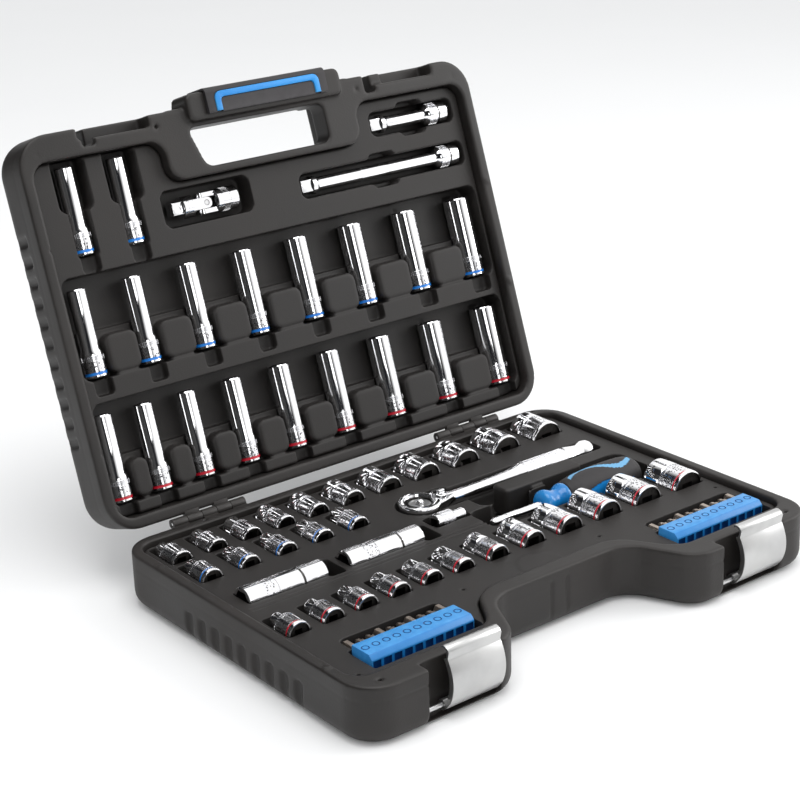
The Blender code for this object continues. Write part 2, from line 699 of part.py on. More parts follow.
def make_handle(lid):
    """The soft grip is a sleeve around the lid's bar, and the blue trim lies in a groove along its face."""
    at = (6.0, 277.0, -6.0)
    outer = rounded(((267.0, -20.0), (288.0, -20.0), (288.0, 7.0), (267.0, 7.0)), (4.0,) * 4, 3)
    inner = ((260.0, -18.4), (286.4, -18.4), (286.4, 4.4), (260.0, 4.4))
    x0, x1 = -46.0, 58.0
    grip = object_from("handle_grip", extruded_along_x(outer, x0, x1), RUBBER, lid, at)
    cut(grip, object_from("grip_hollow", extruded_along_x(inner, x0 - 2.0, x1 + 2.0), parent=lid))
    slot = box(x0 - 5.0, x1 + 5.0, 262.0, 269.5, -25.0, 12.0)
    cut(grip, object_from("grip_slot", slot, parent=lid))
    seat = u_band(-39.4, 51.4, 270.0, 284.4, 5.2, 5.2, 12.0)
    cut(grip, object_from("trim_seat", seat, parent=lid))
    trim = u_band(-39.0, 51.0, 270.4, 284.0, 4.4, 5.7, 8.0)
    object_from("handle_trim", trim, BLUE, lid, at)


def extruded_along_x(points, x0, x1):
    """A solid along X from an outline of (y, z) pairs."""
    bm = bmesh.new()
    loops = [[bm.verts.new((x, y, z)) for y, z in points] for x in (x0, x1)]
    for i in range(len(points)):
        j = (i + 1) % len(points)
        bm.faces.new((loops[0][i], loops[0][j], loops[1][j], loops[1][i]))
    bm.faces.new(loops[0])
    bm.faces.new(list(reversed(loops[1])))
    return bm


def u_band(x0, x1, low, high, width, z0, z1):
    """A flat U that is open towards the lid's middle."""
    points = (
        (x0, low),
        (x0 + width, low),
        (x0 + width, high - width),
        (x1 - width, high - width),
        (x1 - width, low),
        (x1, low),
        (x1, high),
        (x0, high),
    )
    return prism(points, z0, z1)


def latch_profile():
    """The pressed plate's centre line from its knuckle up its bowed face to the hook, as (y, z)."""
    pin = Vector((LATCH_PIN_Y, LATCH_PIN_Z))
    reach = (LATCH_BORE + LATCH_KNUCKLE) / 2
    knuckle = [pin + reach * Vector((cos(a), sin(a))) for a in (radians(d) for d in (150, 195, 235))]
    face = [Vector((-141.5 + 6.5 * ((k - 3.2) / 3.2) ** 2, 8.0 + 5.6 * k)) for k in range(1, 7)]
    hook = [Vector((-137.6, 46.4)), Vector((-135.4, 48.6)), Vector((-132.6, 48.7)), Vector((-131.9, 48.2))]
    return knuckle, face + hook


def ribbon(points, thickness):
    """A closed outline around an open line, half the thickness to each side."""
    left, right = [], []
    for i, point in enumerate(points):
        before, after = points[max(0, i - 1)], points[min(len(points) - 1, i + 1)]
        along = (after - before).normalized()
        across = Vector((-along.y, along.x)) * thickness / 2
        left.append(tuple(point + across))
        right.append(tuple(point - across))
    return left + right[::-1]


def make_latches():
    for side, x in zip(("left", "right"), LATCH_CENTRES):
        at = (x, LATCH_PIN_Y, LATCH_PIN_Z)
        x0, x1 = x - LATCH_WIDTH / 2, x + LATCH_WIDTH / 2
        _, face = latch_profile()
        plate_line = [Vector((LATCH_PIN_Y - 2.4, LATCH_PIN_Z - 1.4)), *face]
        plate = extruded_along_x(ribbon(plate_line, LATCH_SHEET), x0, x1)
        latch = object_from(f"latch_{side}", plate, SATIN, at=at)
        knuckle = placed(rod(LATCH_KNUCKLE, LATCH_WIDTH - 0.02, 12), *at, along_x=True)
        join(latch, object_from(f"latch_knuckle_{side}", knuckle))
        bore = placed(rod(LATCH_BORE, LATCH_WIDTH + 6.0, 12), *at, along_x=True)
        cut(latch, object_from(f"latch_bore_{side}", bore))
        left, right = x + LATCH_POCKET[0], x + LATCH_POCKET[1]
        middle = ((left + right) / 2, LATCH_PIN_Y, LATCH_PIN_Z)
        pin = placed(rod(LATCH_PIN_RADIUS, right - left + 4.0, 10), *middle, along_x=True)
        object_from(f"latch_pin_{side}", pin, SATIN, at=middle)


# ratchet, driver, joint, bars, rails


def make_ratchet():
    z, x = RATCHET_Z, RATCHET_HEAD_X
    at = (x, RATCHET_Y, z)
    profile = (
        (x + 12.0, 6.5),
        (x + 30.0, 5.0),
        (x + 80.0, 5.6),
        (x + 92.0, 7.8),
        (x + 140.0, 7.8),
        (RATCHET_END - 12.0, 6.2),
        (RATCHET_END - 8.0, 8.0),
        (RATCHET_END - 2.5, 8.0),
        (RATCHET_END, 5.0),
    )
    body = object_from("ratchet_body", placed(turned(profile), 0.0, RATCHET_Y, z, along_x=True), CHROME, at=at)
    head = [(x - 15.5 * cos(a), RATCHET_Y + 15.5 * sin(a)) for a in (pi / 2 - pi * i / 10 for i in range(11))]
    head += [(x + 14.0, RATCHET_Y - 13.0), (x + 27.0, RATCHET_Y - 5.0), (x + 27.0, RATCHET_Y + 5.0), (x + 14.0, RATCHET_Y + 13.0)]
    join(body, object_from("ratchet_head", prism(head[::-1], z - 6.5, z + 6.5)))
    bore = placed(rod(8.6, 30.0, 12), 0.0, 0.0, 0.0)
    for vert in bore.verts:
        vert.co = Vector((vert.co.x + x, vert.co.z + RATCHET_Y, vert.co.y + z))
    cut(body, object_from("ratchet_bore", bore))
    seat = prism(lever_outline(1.0), z + 4.6, z + 12.0)
    cut(body, object_from("lever_seat", seat))
    gear = [(x + 8.2 * px, RATCHET_Y + 8.2 * py) for px, py in circle(1.0, 12)]
    drive = object_from("ratchet_drive", prism(gear, z - 6.0, z + 5.4), SATIN, at=at)
    half = DRIVE_SQUARE / 2 - 0.1
    stub = box(x - half, x + half, RATCHET_Y - half, RATCHET_Y + half, z - 17.0, z - 5.0)
    join(drive, object_from("ratchet_square", stub))
    well = [(x + 3.4 * px, RATCHET_Y + 3.4 * py) for px, py in circle(1.0, 12)]
    cut(drive, object_from("button_well", prism(well, z - 1.0, z + 9.0)))
    button = [(x + 2.9 * px, RATCHET_Y + 2.9 * py) for px, py in circle(1.0, 12)]
    object_from("ratchet_button", prism(button, z + 1.5, z + 7.6), CHROME, at=(x, RATCHET_Y, z + 4.0))
    object_from("ratchet_lever", prism(lever_outline(0.0), z + 5.0, z + 8.4), CHROME, at=(x + 17.5, RATCHET_Y, z))


def lever_outline(extra):
    """The reversing lever's two-lobed plate behind the gear."""
    x, y = RATCHET_HEAD_X + 17.5, RATCHET_Y
    reach = 5.2 + extra
    return [
        (x + reach * cos(a) * (1.0 + 0.25 * sin(a) ** 2), y + reach * sin(a) * (1.0 + 0.25 * sin(a) ** 2))
        for a in (2 * pi * i / 12 for i in range(12))
    ]


def make_driver():
    at = (DRIVER_COLLAR[1], DRIVER_Y, DRIVER_Z)
    shaft = ((DRIVER_TIP, 2.4), (DRIVER_TIP + 2.0, 3.2), (DRIVER_TIP + 12.0, 3.2), (DRIVER_COLLAR[0] - 0.4, 3.2))
    object_from("driver_shaft", placed(turned(shaft, 10), 0.0, DRIVER_Y, DRIVER_Z, along_x=True), CHROME, at=at)
    x0, x1 = DRIVER_COLLAR
    collar = ((x0, 7.5), (x0 + 4.0, 10.0), (x0 + 13.0, 7.6), (x1 - 5.0, 9.6), (x1 - 0.4, 10.4))
    object_from("driver_collar", placed(turned(collar), 0.0, DRIVER_Y, DRIVER_Z, along_x=True), BLUE, at=at)
    handle = (
        (x1, 10.6),
        (x1 + 10.0, 12.6),
        (x1 + 35.0, 14.0),
        (DRIVER_END - 12.0, 13.6),
        (DRIVER_END - 4.0, 11.0),
        (DRIVER_END, 6.5),
    )
    object_from("driver_handle", placed(turned(handle), 0.0, DRIVER_Y, DRIVER_Z, along_x=True), RUBBER, at=at)


def make_adapter():
    x0, x1 = ADAPTER_X
    middle = (x0 + x1) / 2
    rings = (
        ring_at(-13.0, circle(6.2)),
        ring_at(3.0, circle(6.2)),
        ring_at(4.0, circle(4.4)),
        ring_at(13.0, circle(4.4)),
        ring_at(13.0, circle(2.2)),
        ring_at(-3.0, circle(2.2)),
        ring_at(-3.0, polygon_ring(4, 3.2)),
        ring_at(-13.0, polygon_ring(4, 3.2)),
    )
    bm = placed(tube(rings), middle, ADAPTER_Y, AXIS_Z, along_x=True)
    object_from("drive_adapter", bm, CHROME, at=(middle, ADAPTER_Y, AXIS_Z))


def make_extensions(lid):
    """Bars with a driving square at the left and a socketed end at the right."""
    for name, x0, x1, y in EXTENSIONS:
        z = -(LID_SINK + 8.6)
        length = x1 - x0 - 4.0
        half = length / 2
        square = DRIVE_SQUARE / 2 - 0.15
        rings = (
            ring_at(-half, polygon_ring(4, square - 0.5)),
            ring_at(-half + 1.0, polygon_ring(4, square)),
            ring_at(-half + 10.0, polygon_ring(4, square)),
            ring_at(-half + 10.0, circle(6.8)),
            ring_at(-half + 14.0, circle(6.8)),
            ring_at(-half + 16.0, circle(5.2)),
            ring_at(half - 20.0, circle(5.2)),
            ring_at(half - 17.0, circle(8.4)),
            ring_at(half, circle(8.4)),
            ring_at(half, polygon_ring(4, DRIVE_SQUARE / 2)),
            ring_at(half - 11.0, polygon_ring(4, DRIVE_SQUARE / 2)),
        )
        bm = placed(bar_with_socket(rings), (x0 + x1) / 2, y, z, along_x=True)
        object_from(f"extension_{name}", bm, CHROME, lid, at=((x0 + x1) / 2, y, z))


def bar_with_socket(rings):
    """A solid through the rings, closed at the first ring and at the bottom of the bore."""
    bm = bmesh.new()
    loops = [[bm.verts.new(point) for point in ring] for ring in rings]
    for loop, follower in zip(loops, loops[1:]):
        for i in range(len(loop)):
            j = (i + 1) % len(loop)
            bm.faces.new((loop[i], loop[j], follower[j], follower[i]))
    bm.faces.new(loops[0])
    bm.faces.new(loops[-1])
    return bm


def make_universal_joint(lid):
    """Two forks at right angles on a spider: the drive end's ears lie above and below, the socket end's beside it."""
    z = -(LID_SINK + 8.6)
    x = (JOINT_X[0] + JOINT_X[1]) / 2
    at = (x, JOINT_Y, z)
    half = DRIVE_SQUARE / 2 - 0.15
    body = placed(rod(8.0, 10.0), JOINT_X[0] + 13.5, JOINT_Y, z, along_x=True)
    drive = object_from("joint_drive_end", body, CHROME, lid, at)
    stub = box(JOINT_X[0], JOINT_X[0] + 10.0, JOINT_Y - half, JOINT_Y + half, z - half, z + half)
    join(drive, object_from("joint_stub", stub, parent=lid))
    socket_rings = (
        ring_at(9.5, circle(8.5)),
        ring_at(JOINT_X[1] - x, circle(8.5)),
        ring_at(JOINT_X[1] - x, polygon_ring(4, DRIVE_SQUARE / 2)),
        ring_at(JOINT_X[1] - x - 11.0, polygon_ring(4, DRIVE_SQUARE / 2)),
    )
    socket = placed(bar_with_socket(socket_rings), x, JOINT_Y, z, along_x=True)
    socket = object_from("joint_socket_end", socket, CHROME, lid, at)
    for sign in (-1.0, 1.0):
        low, high = sorted((sign * 4.2, sign * 7.4))
        ear = box(JOINT_X[0] + 16.0, x + 4.2, JOINT_Y - 3.9, JOINT_Y + 3.9, z + low, z + high)
        join(drive, object_from(f"drive_ear_{sign:.0f}", ear, parent=lid))
        ear = box(x - 4.2, x + 12.0, JOINT_Y + low, JOINT_Y + high, z - 3.9, z + 3.9)
        join(socket, object_from(f"socket_ear_{sign:.0f}", ear, parent=lid))
    cut(drive, object_from("drive_ear_hole", octagon_bar(at, 2.1, 20.0, "z"), parent=lid))
    cut(socket, object_from("socket_ear_hole", octagon_bar(at, 2.1, 20.0, "y"), parent=lid))
    spider = object_from("joint_spider", box(x - 3.4, x + 3.4, JOINT_Y - 3.4, JOINT_Y + 3.4, z - 3.4, z + 3.4), SATIN, lid, at)
    join(spider, object_from("spider_pin_z", octagon_bar(at, 1.7, 14.4, "z"), parent=lid))
    join(spider, object_from("spider_pin_y", octagon_bar(at, 1.7, 14.4, "y"), parent=lid))


def octagon_bar(at, radius, length, axis):
    bm = rod(radius, length, 8)
    if axis == "z":
        for vert in bm.verts:
            vert.co = Vector((vert.co.x, -vert.co.z, vert.co.y))
    return placed(bm, *at)


def make_rails():
    """Bit holders: a bar with ten bits standing out of its rear side."""
    for side, x0, x1, y0, y1 in RAILS:
        middle = ((x0 + x1) / 2, (y0 + y1) / 2, sum(RAIL_Z) / 2)
        chamfered = ((y0, RAIL_Z[0]), (y1, RAIL_Z[0]), (y1, RAIL_Z[1]), (y0 + 3.0, RAIL_Z[1]), (y0, RAIL_Z[1] - 3.0))
        rail = object_from(f"bit_rail_{side}", extruded_along_x(chamfered, x0, x1), BLUE, at=middle)
        pitch = (x1 - x0) / BITS_PER_RAIL
        for i in range(BITS_PER_RAIL):
            x = x0 + pitch * (i + 0.5)
            bit = placed(rod(BIT_RADIUS, BIT_LENGTH + 6.0, 6), x, y1 + BIT_LENGTH / 2 - 3.0, middle[2])
            join(rail, object_from(f"bit_{side}_{i}", bit))


def main():
    clear_scene()
    lid = bpy.data.objects.new("lid_frame", None)
    bpy.context.scene.collection.objects.link(lid)
    lid.location = Vector((0.0, HINGE_Y, BASE_HEIGHT)) * MM
    lid.rotation_euler = (radians(90.0 - LEAN_BACK), 0.0, 0.0)
    make_base_shell()
    make_base_tray()
    make_lid_shell(lid)
    make_lid_tray(lid)
    make_hinge_pins()
    make_handle(lid)
    make_latches()
    make_sockets(lid)
    make_ratchet()
    make_driver()
    make_adapter()
    make_extensions(lid)
    make_universal_joint(lid)
    make_rails()


main()
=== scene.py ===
import json
import math

import bpy
from mathutils import Matrix, Vector

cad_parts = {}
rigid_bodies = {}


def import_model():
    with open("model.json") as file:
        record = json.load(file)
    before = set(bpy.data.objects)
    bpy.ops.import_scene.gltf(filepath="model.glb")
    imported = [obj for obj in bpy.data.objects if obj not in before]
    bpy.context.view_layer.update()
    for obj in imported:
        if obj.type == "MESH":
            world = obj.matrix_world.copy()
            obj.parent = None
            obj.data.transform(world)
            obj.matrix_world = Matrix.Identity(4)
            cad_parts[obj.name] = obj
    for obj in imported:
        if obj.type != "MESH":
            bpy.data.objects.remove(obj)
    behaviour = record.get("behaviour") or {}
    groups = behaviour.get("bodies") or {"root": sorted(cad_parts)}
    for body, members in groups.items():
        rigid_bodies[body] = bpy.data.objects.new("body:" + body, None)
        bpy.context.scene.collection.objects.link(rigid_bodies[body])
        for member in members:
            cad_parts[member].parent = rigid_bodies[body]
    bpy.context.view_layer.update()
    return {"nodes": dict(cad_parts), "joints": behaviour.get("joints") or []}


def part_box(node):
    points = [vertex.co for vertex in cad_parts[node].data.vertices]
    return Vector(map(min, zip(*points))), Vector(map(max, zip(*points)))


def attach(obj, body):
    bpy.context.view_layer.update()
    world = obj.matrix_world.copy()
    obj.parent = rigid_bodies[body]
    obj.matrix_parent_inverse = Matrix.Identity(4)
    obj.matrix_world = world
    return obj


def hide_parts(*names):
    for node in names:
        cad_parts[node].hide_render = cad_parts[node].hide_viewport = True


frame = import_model()
nodes = frame["nodes"]
print("frame loaded:", len(nodes), "nodes")

mm = 0.001
hinge = next(j for j in frame["joints"] if j["name"] == "lid_hinge")
leanBack = 18.85
lidPlace = Matrix.Translation(Vector(hinge["pos_m"])) @ Matrix.Rotation(math.radians(90 - leanBack), 4, "X")


# small helpers around the operators
def deselect():
    if bpy.context.object and bpy.context.object.mode != "OBJECT":
        bpy.ops.object.mode_set(mode="OBJECT")
    bpy.ops.object.select_all(action="DESELECT")


def take(obj):
    deselect()
    obj.select_set(True)
    bpy.context.view_layer.objects.active = obj
    return obj


def settle(name):
    obj = bpy.context.object
    obj.name = name
    obj.data.name = name
    bpy.ops.object.transform_apply(location=True, rotation=True, scale=True)
    return obj


def block(name, x0, x1, y0, y1, z0, z1):
    deselect()
    middle = ((x0 + x1) / 2 * mm, (y0 + y1) / 2 * mm, (z0 + z1) / 2 * mm)
    size = ((x1 - x0) * mm, (y1 - y0) * mm, (z1 - z0) * mm)
    bpy.ops.mesh.primitive_cube_add(size=1, location=middle, scale=size)
    return settle(name)


def rod(name, x, y, z, radius, length, axis="Z", sides=32):
    deselect()
    turn = {"X": (0, math.pi / 2, 0), "Y": (math.pi / 2, 0, 0), "Z": (0, 0, 0)}[axis]
    bpy.ops.mesh.primitive_cylinder_add(
        vertices=sides, radius=radius * mm, depth=length * mm,
        location=(x * mm, y * mm, z * mm), rotation=turn,
    )
    return settle(name)


def pickEdges(obj, test):
    take(obj)
    bpy.ops.object.mode_set(mode="EDIT")
    bpy.ops.mesh.select_mode(type="EDGE")
    bpy.ops.mesh.select_all(action="DESELECT")
    bpy.ops.object.mode_set(mode="OBJECT")
    mesh = obj.data
    for edge in mesh.edges:
        a, b = (mesh.vertices[i].co / mm for i in edge.vertices)
        edge.select = bool(test(a, b))
    bpy.ops.object.mode_set(mode="EDIT")


def pickFaces(obj, test):
    take(obj)
    bpy.ops.object.mode_set(mode="EDIT")
    bpy.ops.mesh.select_mode(type="FACE")
    bpy.ops.mesh.select_all(action="DESELECT")
    bpy.ops.object.mode_set(mode="OBJECT")
    for face in obj.data.polygons:
        face.select = bool(test(face.center / mm, face.normal))
    bpy.ops.object.mode_set(mode="EDIT")


def bevelWhere(obj, test, width, segments=4):
    pickEdges(obj, test)
    bpy.ops.mesh.bevel(offset=width * mm, segments=segments, affect="EDGES", clamp_overlap=True)
    bpy.ops.object.mode_set(mode="OBJECT")
    return obj


def upright(a, b):
    return abs(a.x - b.x) < 0.01 and abs(a.y - b.y) < 0.01


def level(z):
    return lambda a, b: abs(a.z - z) < 0.01 and abs(b.z - z) < 0.01


def softBlock(name, x0, x1, y0, y1, z0, z1, corner=4, edge=0):
    obj = block(name, x0, x1, y0, y1, z0, z1)
    bevelWhere(obj, upright, corner, 6)
    if edge:
        bevelWhere(obj, level(z1), edge, 3)
    return obj


def modify(obj, kind, **values):
    take(obj)
    tool = obj.modifiers.new(kind.lower(), kind)
    for key, value in values.items():
        setattr(tool, key, value)
    bpy.ops.object.modifier_apply(modifier=tool.name)
    return obj


def discard(obj):
    bpy.data.objects.remove(obj, do_unlink=True)


def carve(obj, *cutters):
    for cutter in cutters:
        modify(obj, "BOOLEAN", operation="DIFFERENCE", solver="EXACT", object=cutter)
        discard(cutter)
    return obj


def fuse(obj, *others):
    for other in others:
        modify(obj, "BOOLEAN", operation="UNION", solver="EXACT", object=other)
        discard(other)
    return obj


def gather(name, parts):
    deselect()
    for part in parts:
        part.select_set(True)
    bpy.context.view_layer.objects.active = parts[0]
    if len(parts) > 1:
        bpy.ops.object.join()
    parts[0].name = name
    return parts[0]


def mould(obj, voxel=1.1, rounds=3, keep=180000):
    modify(obj, "REMESH", mode="VOXEL", voxel_size=voxel * mm)
    modify(obj, "SMOOTH", factor=0.5, iterations=rounds)
    triangles = len(obj.data.polygons) * 2
    if triangles > keep:
        modify(obj, "DECIMATE", ratio=keep / triangles)
    return smooth(obj, 180)


def smooth(obj, angle=35):
    take(obj)
    bpy.ops.object.shade_smooth_by_angle(angle=math.radians(angle))
    return obj


def moveTo(obj, matrix):
    obj.data.transform(matrix)
    obj.data.update()
    return obj


def dress(obj, *materials):
    choices = [face.material_index for face in obj.data.polygons]
    obj.data.materials.clear()
    for material in materials:
        obj.data.materials.append(material)
    for face, choice in zip(obj.data.polygons, choices):
        face.material_index = min(choice, len(materials) - 1)
    return obj


def lathe(name, profile, sides=48):
    # turned about Z from (z, radius) pairs in millimetres
    deselect()
    z, radius = profile[0]
    bpy.ops.mesh.primitive_circle_add(
        vertices=sides, radius=radius * mm, fill_type="NGON", location=(0, 0, z * mm), rotation=(0, 0, 0)
    )
    obj = settle(name)
    bpy.ops.object.mode_set(mode="EDIT")
    bpy.ops.mesh.select_mode(type="FACE")
    bpy.ops.mesh.select_all(action="SELECT")
    for nextZ, nextRadius in profile[1:]:
        bpy.ops.mesh.extrude_region_move(TRANSFORM_OT_translate={"value": (0, 0, (nextZ - z) * mm)})
        grow = nextRadius / radius
        bpy.ops.transform.resize(value=(grow, grow, 1), center_override=(0, 0, nextZ * mm))
        z, radius = nextZ, nextRadius
    bpy.ops.mesh.select_all(action="SELECT")
    bpy.ops.mesh.normals_make_consistent(inside=False)
    bpy.ops.object.mode_set(mode="OBJECT")
    return obj


def ringFaces(obj, z0, z1, every=1, of=1, inner=0):
    # picks side faces between two heights, optionally only some of them round the axis
    def test(centre, normal):
        if abs(normal.z) > 0.6 or not z0 < centre.z < z1 or math.hypot(centre.x, centre.y) < inner:
            return False
        turn = (math.atan2(centre.y, centre.x) / (2 * math.pi)) % 1
        return int(turn * of) % every == 0

    pickFaces(obj, test)


def lay(axis, x, y, z):
    # sends the turned +Z axis along one of the case's axes, to a place in millimetres
    turn = {
        "+Y": Matrix.Rotation(math.radians(-90), 4, "X"),
        "-Y": Matrix.Rotation(math.radians(90), 4, "X"),
        "+X": Matrix.Rotation(math.radians(90), 4, "Y"),
        "-X": Matrix.Rotation(math.radians(-90), 4, "Y"),
        "+Z": Matrix.Identity(4),
    }[axis]
    return Matrix.Translation(Vector((x, y, z)) * mm) @ turn


def flatBox(node):
    # a lid node's box in the lid's own flat frame, in millimetres
    points = [lidPlace.inverted() @ v.co / mm for v in nodes[node].data.vertices]
    return [min(p[k] for p in points) for k in range(3)], [max(p[k] for p in points) for k in range(3)]


def caseBox(node):
    low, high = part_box(node)
    return [c / mm for c in low], [c / mm for c in high]


def show(obj, body, slot, *replaced):
    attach(obj, body)
    if replaced:
        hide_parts(*replaced)
    return obj


# finishes
def newGroup(name, inputs, outputs):
    group = bpy.data.node_groups.new(name, "ShaderNodeTree")
    for label, kind, value in inputs:
        socket = group.interface.new_socket(label, in_out="INPUT", socket_type="NodeSocket" + kind)
        if value is not None:
            socket.default_value = value
    for label, kind in outputs:
        group.interface.new_socket(label, in_out="OUTPUT", socket_type="NodeSocket" + kind)
    return group, group.nodes.new("NodeGroupInput"), group.nodes.new("NodeGroupOutput")


def link(tree, start, out, end, into):
    tree.links.new(start.outputs[out], end.inputs[into])


def makeGrain():
    # moulded pebble grain and slow changes of tone
    group, entry, leave = newGroup(
        "mouldedGrain",
        (("Vector", "Vector", None), ("Scale", "Float", 900.0), ("Patch Scale", "Float", 14.0)),
        (("Height", "Float"), ("Tone", "Float")),
    )
    pebble = group.nodes.new("ShaderNodeTexVoronoi")
    pebble.feature = "SMOOTH_F1"
    fine = group.nodes.new("ShaderNodeTexNoise")
    fine.inputs["Detail"].default_value = 3
    patch = group.nodes.new("ShaderNodeTexNoise")
    patch.inputs["Detail"].default_value = 4
    both = group.nodes.new("ShaderNodeMath")
    both.operation = "ADD"
    for texture in (pebble, fine, patch):
        link(group, entry, "Vector", texture, "Vector")
    for texture in (pebble, fine):
        link(group, entry, "Scale", texture, "Scale")
    link(group, entry, "Patch Scale", patch, "Scale")
    link(group, pebble, "Distance", both, 0)
    link(group, fine, "Fac", both, 1)
    link(group, both, 0, leave, "Height")
    link(group, patch, "Fac", leave, "Tone")
    return group


def makePaintedHighlight():
    # painted highlight: paler colour on sharp edges, from the surface's own sharpness
    group, entry, leave = newGroup(
        "paintedEdgeHighlight",
        (
            ("Pointiness", "Float", 0.5), ("Vector", "Vector", None),
            ("Start", "Float", 0.52), ("End", "Float", 0.6),
        ),
        (("Mask", "Float"),),
    )
    spread = group.nodes.new("ShaderNodeMapRange")
    noise = group.nodes.new("ShaderNodeTexNoise")
    noise.inputs["Scale"].default_value = 160
    noise.inputs["Detail"].default_value = 4
    times = group.nodes.new("ShaderNodeMath")
    times.operation = "MULTIPLY"
    link(group, entry, "Pointiness", spread, "Value")
    link(group, entry, "Start", spread, "From Min")
    link(group, entry, "End", spread, "From Max")
    link(group, entry, "Vector", noise, "Vector")
    link(group, spread, "Result", times, 0)
    link(group, noise, "Fac", times, 1)
    link(group, times, 0, leave, "Mask")
    return group


def makeSmudge():
    # faint cloudy polish, with fine turning lines along one axis
    group, entry, leave = newGroup(
        "polishLines",
        (("Vector", "Vector", None), ("Cloud Scale", "Float", 60.0), ("Line Stretch", "Vector", (1, 1, 1))),
        (("Cloud", "Float"), ("Lines", "Float")),
    )
    cloud = group.nodes.new("ShaderNodeTexNoise")
    cloud.inputs["Detail"].default_value = 5
    stretch = group.nodes.new("ShaderNodeVectorMath")
    stretch.operation = "MULTIPLY"
    lines = group.nodes.new("ShaderNodeTexNoise")
    lines.inputs["Scale"].default_value = 300
    lines.inputs["Detail"].default_value = 2
    link(group, entry, "Vector", cloud, "Vector")
    link(group, entry, "Cloud Scale", cloud, "Scale")
    link(group, entry, "Vector", stretch, 0)
    link(group, entry, "Line Stretch", stretch, 1)
    link(group, stretch, 0, lines, "Vector")
    link(group, cloud, "Fac", leave, "Cloud")
    link(group, lines, "Fac", leave, "Lines")
    return group


grainGroup = makeGrain()
highlightGroup = makePaintedHighlight()
smudgeGroup = makeSmudge()


def startMaterial(name):
    material = bpy.data.materials.new(name)
    material.use_nodes = True
    tree = material.node_tree
    shader = tree.nodes["Principled BSDF"]
    place = tree.nodes.new("ShaderNodeTexCoord")
    return material, tree, shader, place


def addGroup(tree, group, place, **values):
    node = tree.nodes.new("ShaderNodeGroup")
    node.node_tree = group
    link(tree, place, "Object", node, "Vector")
    for label, value in values.items():
        node.inputs[label.replace("_", " ")].default_value = value
    return node


def blendColours(tree, dark, light):
    mix = tree.nodes.new("ShaderNodeMix")
    mix.data_type = "RGBA"
    mix.inputs["A"].default_value = (*dark, 1)
    mix.inputs["B"].default_value = (*light, 1)
    return mix


def range01(tree, low, high, fromLow=0.0, fromHigh=1.0):
    node = tree.nodes.new("ShaderNodeMapRange")
    node.inputs["From Min"].default_value = fromLow
    node.inputs["From Max"].default_value = fromHigh
    node.inputs["To Min"].default_value = low
    node.inputs["To Max"].default_value = high
    return node


def plastic(name, dark, light, edge, rough=(0.42, 0.58), grain=900.0, depth=0.00012, bump=0.35, coat=0.0):
    material, tree, shader, place = startMaterial(name)
    grainNode = addGroup(tree, grainGroup, place, Scale=grain)
    highlightNode = addGroup(tree, highlightGroup, place)
    shape = tree.nodes.new("ShaderNodeNewGeometry")
    link(tree, shape, "Pointiness", highlightNode, "Pointiness")
    tone = blendColours(tree, dark, light)
    spread = range01(tree, 0.0, 1.0, 0.35, 0.65)
    link(tree, grainNode, "Tone", spread, "Value")
    link(tree, spread, "Result", tone, "Factor")
    # painted highlight: sharp edges blend toward the paler edge colour
    highlighted = blendColours(tree, dark, edge)
    tree.links.new(tone.outputs["Result"], highlighted.inputs["A"])
    link(tree, highlightNode, "Mask", highlighted, "Factor")
    tree.links.new(highlighted.outputs["Result"], shader.inputs["Base Color"])
    roughness = range01(tree, rough[0], rough[1], 0.3, 0.7)
    link(tree, grainNode, "Tone", roughness, "Value")
    link(tree, roughness, "Result", shader, "Roughness")
    relief = tree.nodes.new("ShaderNodeBump")
    relief.inputs["Strength"].default_value = bump
    relief.inputs["Distance"].default_value = depth
    link(tree, grainNode, "Height", relief, "Height")
    link(tree, relief, "Normal", shader, "Normal")
    shader.inputs["Specular IOR Level"].default_value = 0.4
    shader.inputs["Coat Weight"].default_value = coat
    return material


def metal(name, colour, dull, rough=(0.06, 0.16), stretch=(1, 1, 1), cloud=60.0, depth=0.00001, bump=0.15):
    material, tree, shader, place = startMaterial(name)
    polish = addGroup(tree, smudgeGroup, place, Cloud_Scale=cloud, Line_Stretch=stretch)
    tone = blendColours(tree, colour, dull)
    spread = range01(tree, 0.0, 1.0, 0.45, 0.75)
    link(tree, polish, "Cloud", spread, "Value")
    link(tree, spread, "Result", tone, "Factor")
    tree.links.new(tone.outputs["Result"], shader.inputs["Base Color"])
    roughness = range01(tree, rough[0], rough[1], 0.35, 0.7)
    link(tree, polish, "Cloud", roughness, "Value")
    link(tree, roughness, "Result", shader, "Roughness")
    relief = tree.nodes.new("ShaderNodeBump")
    relief.inputs["Strength"].default_value = bump
    relief.inputs["Distance"].default_value = depth
    link(tree, polish, "Lines", relief, "Height")
    link(tree, relief, "Normal", shader, "Normal")
    shader.inputs["Metallic"].default_value = 1.0
    return material


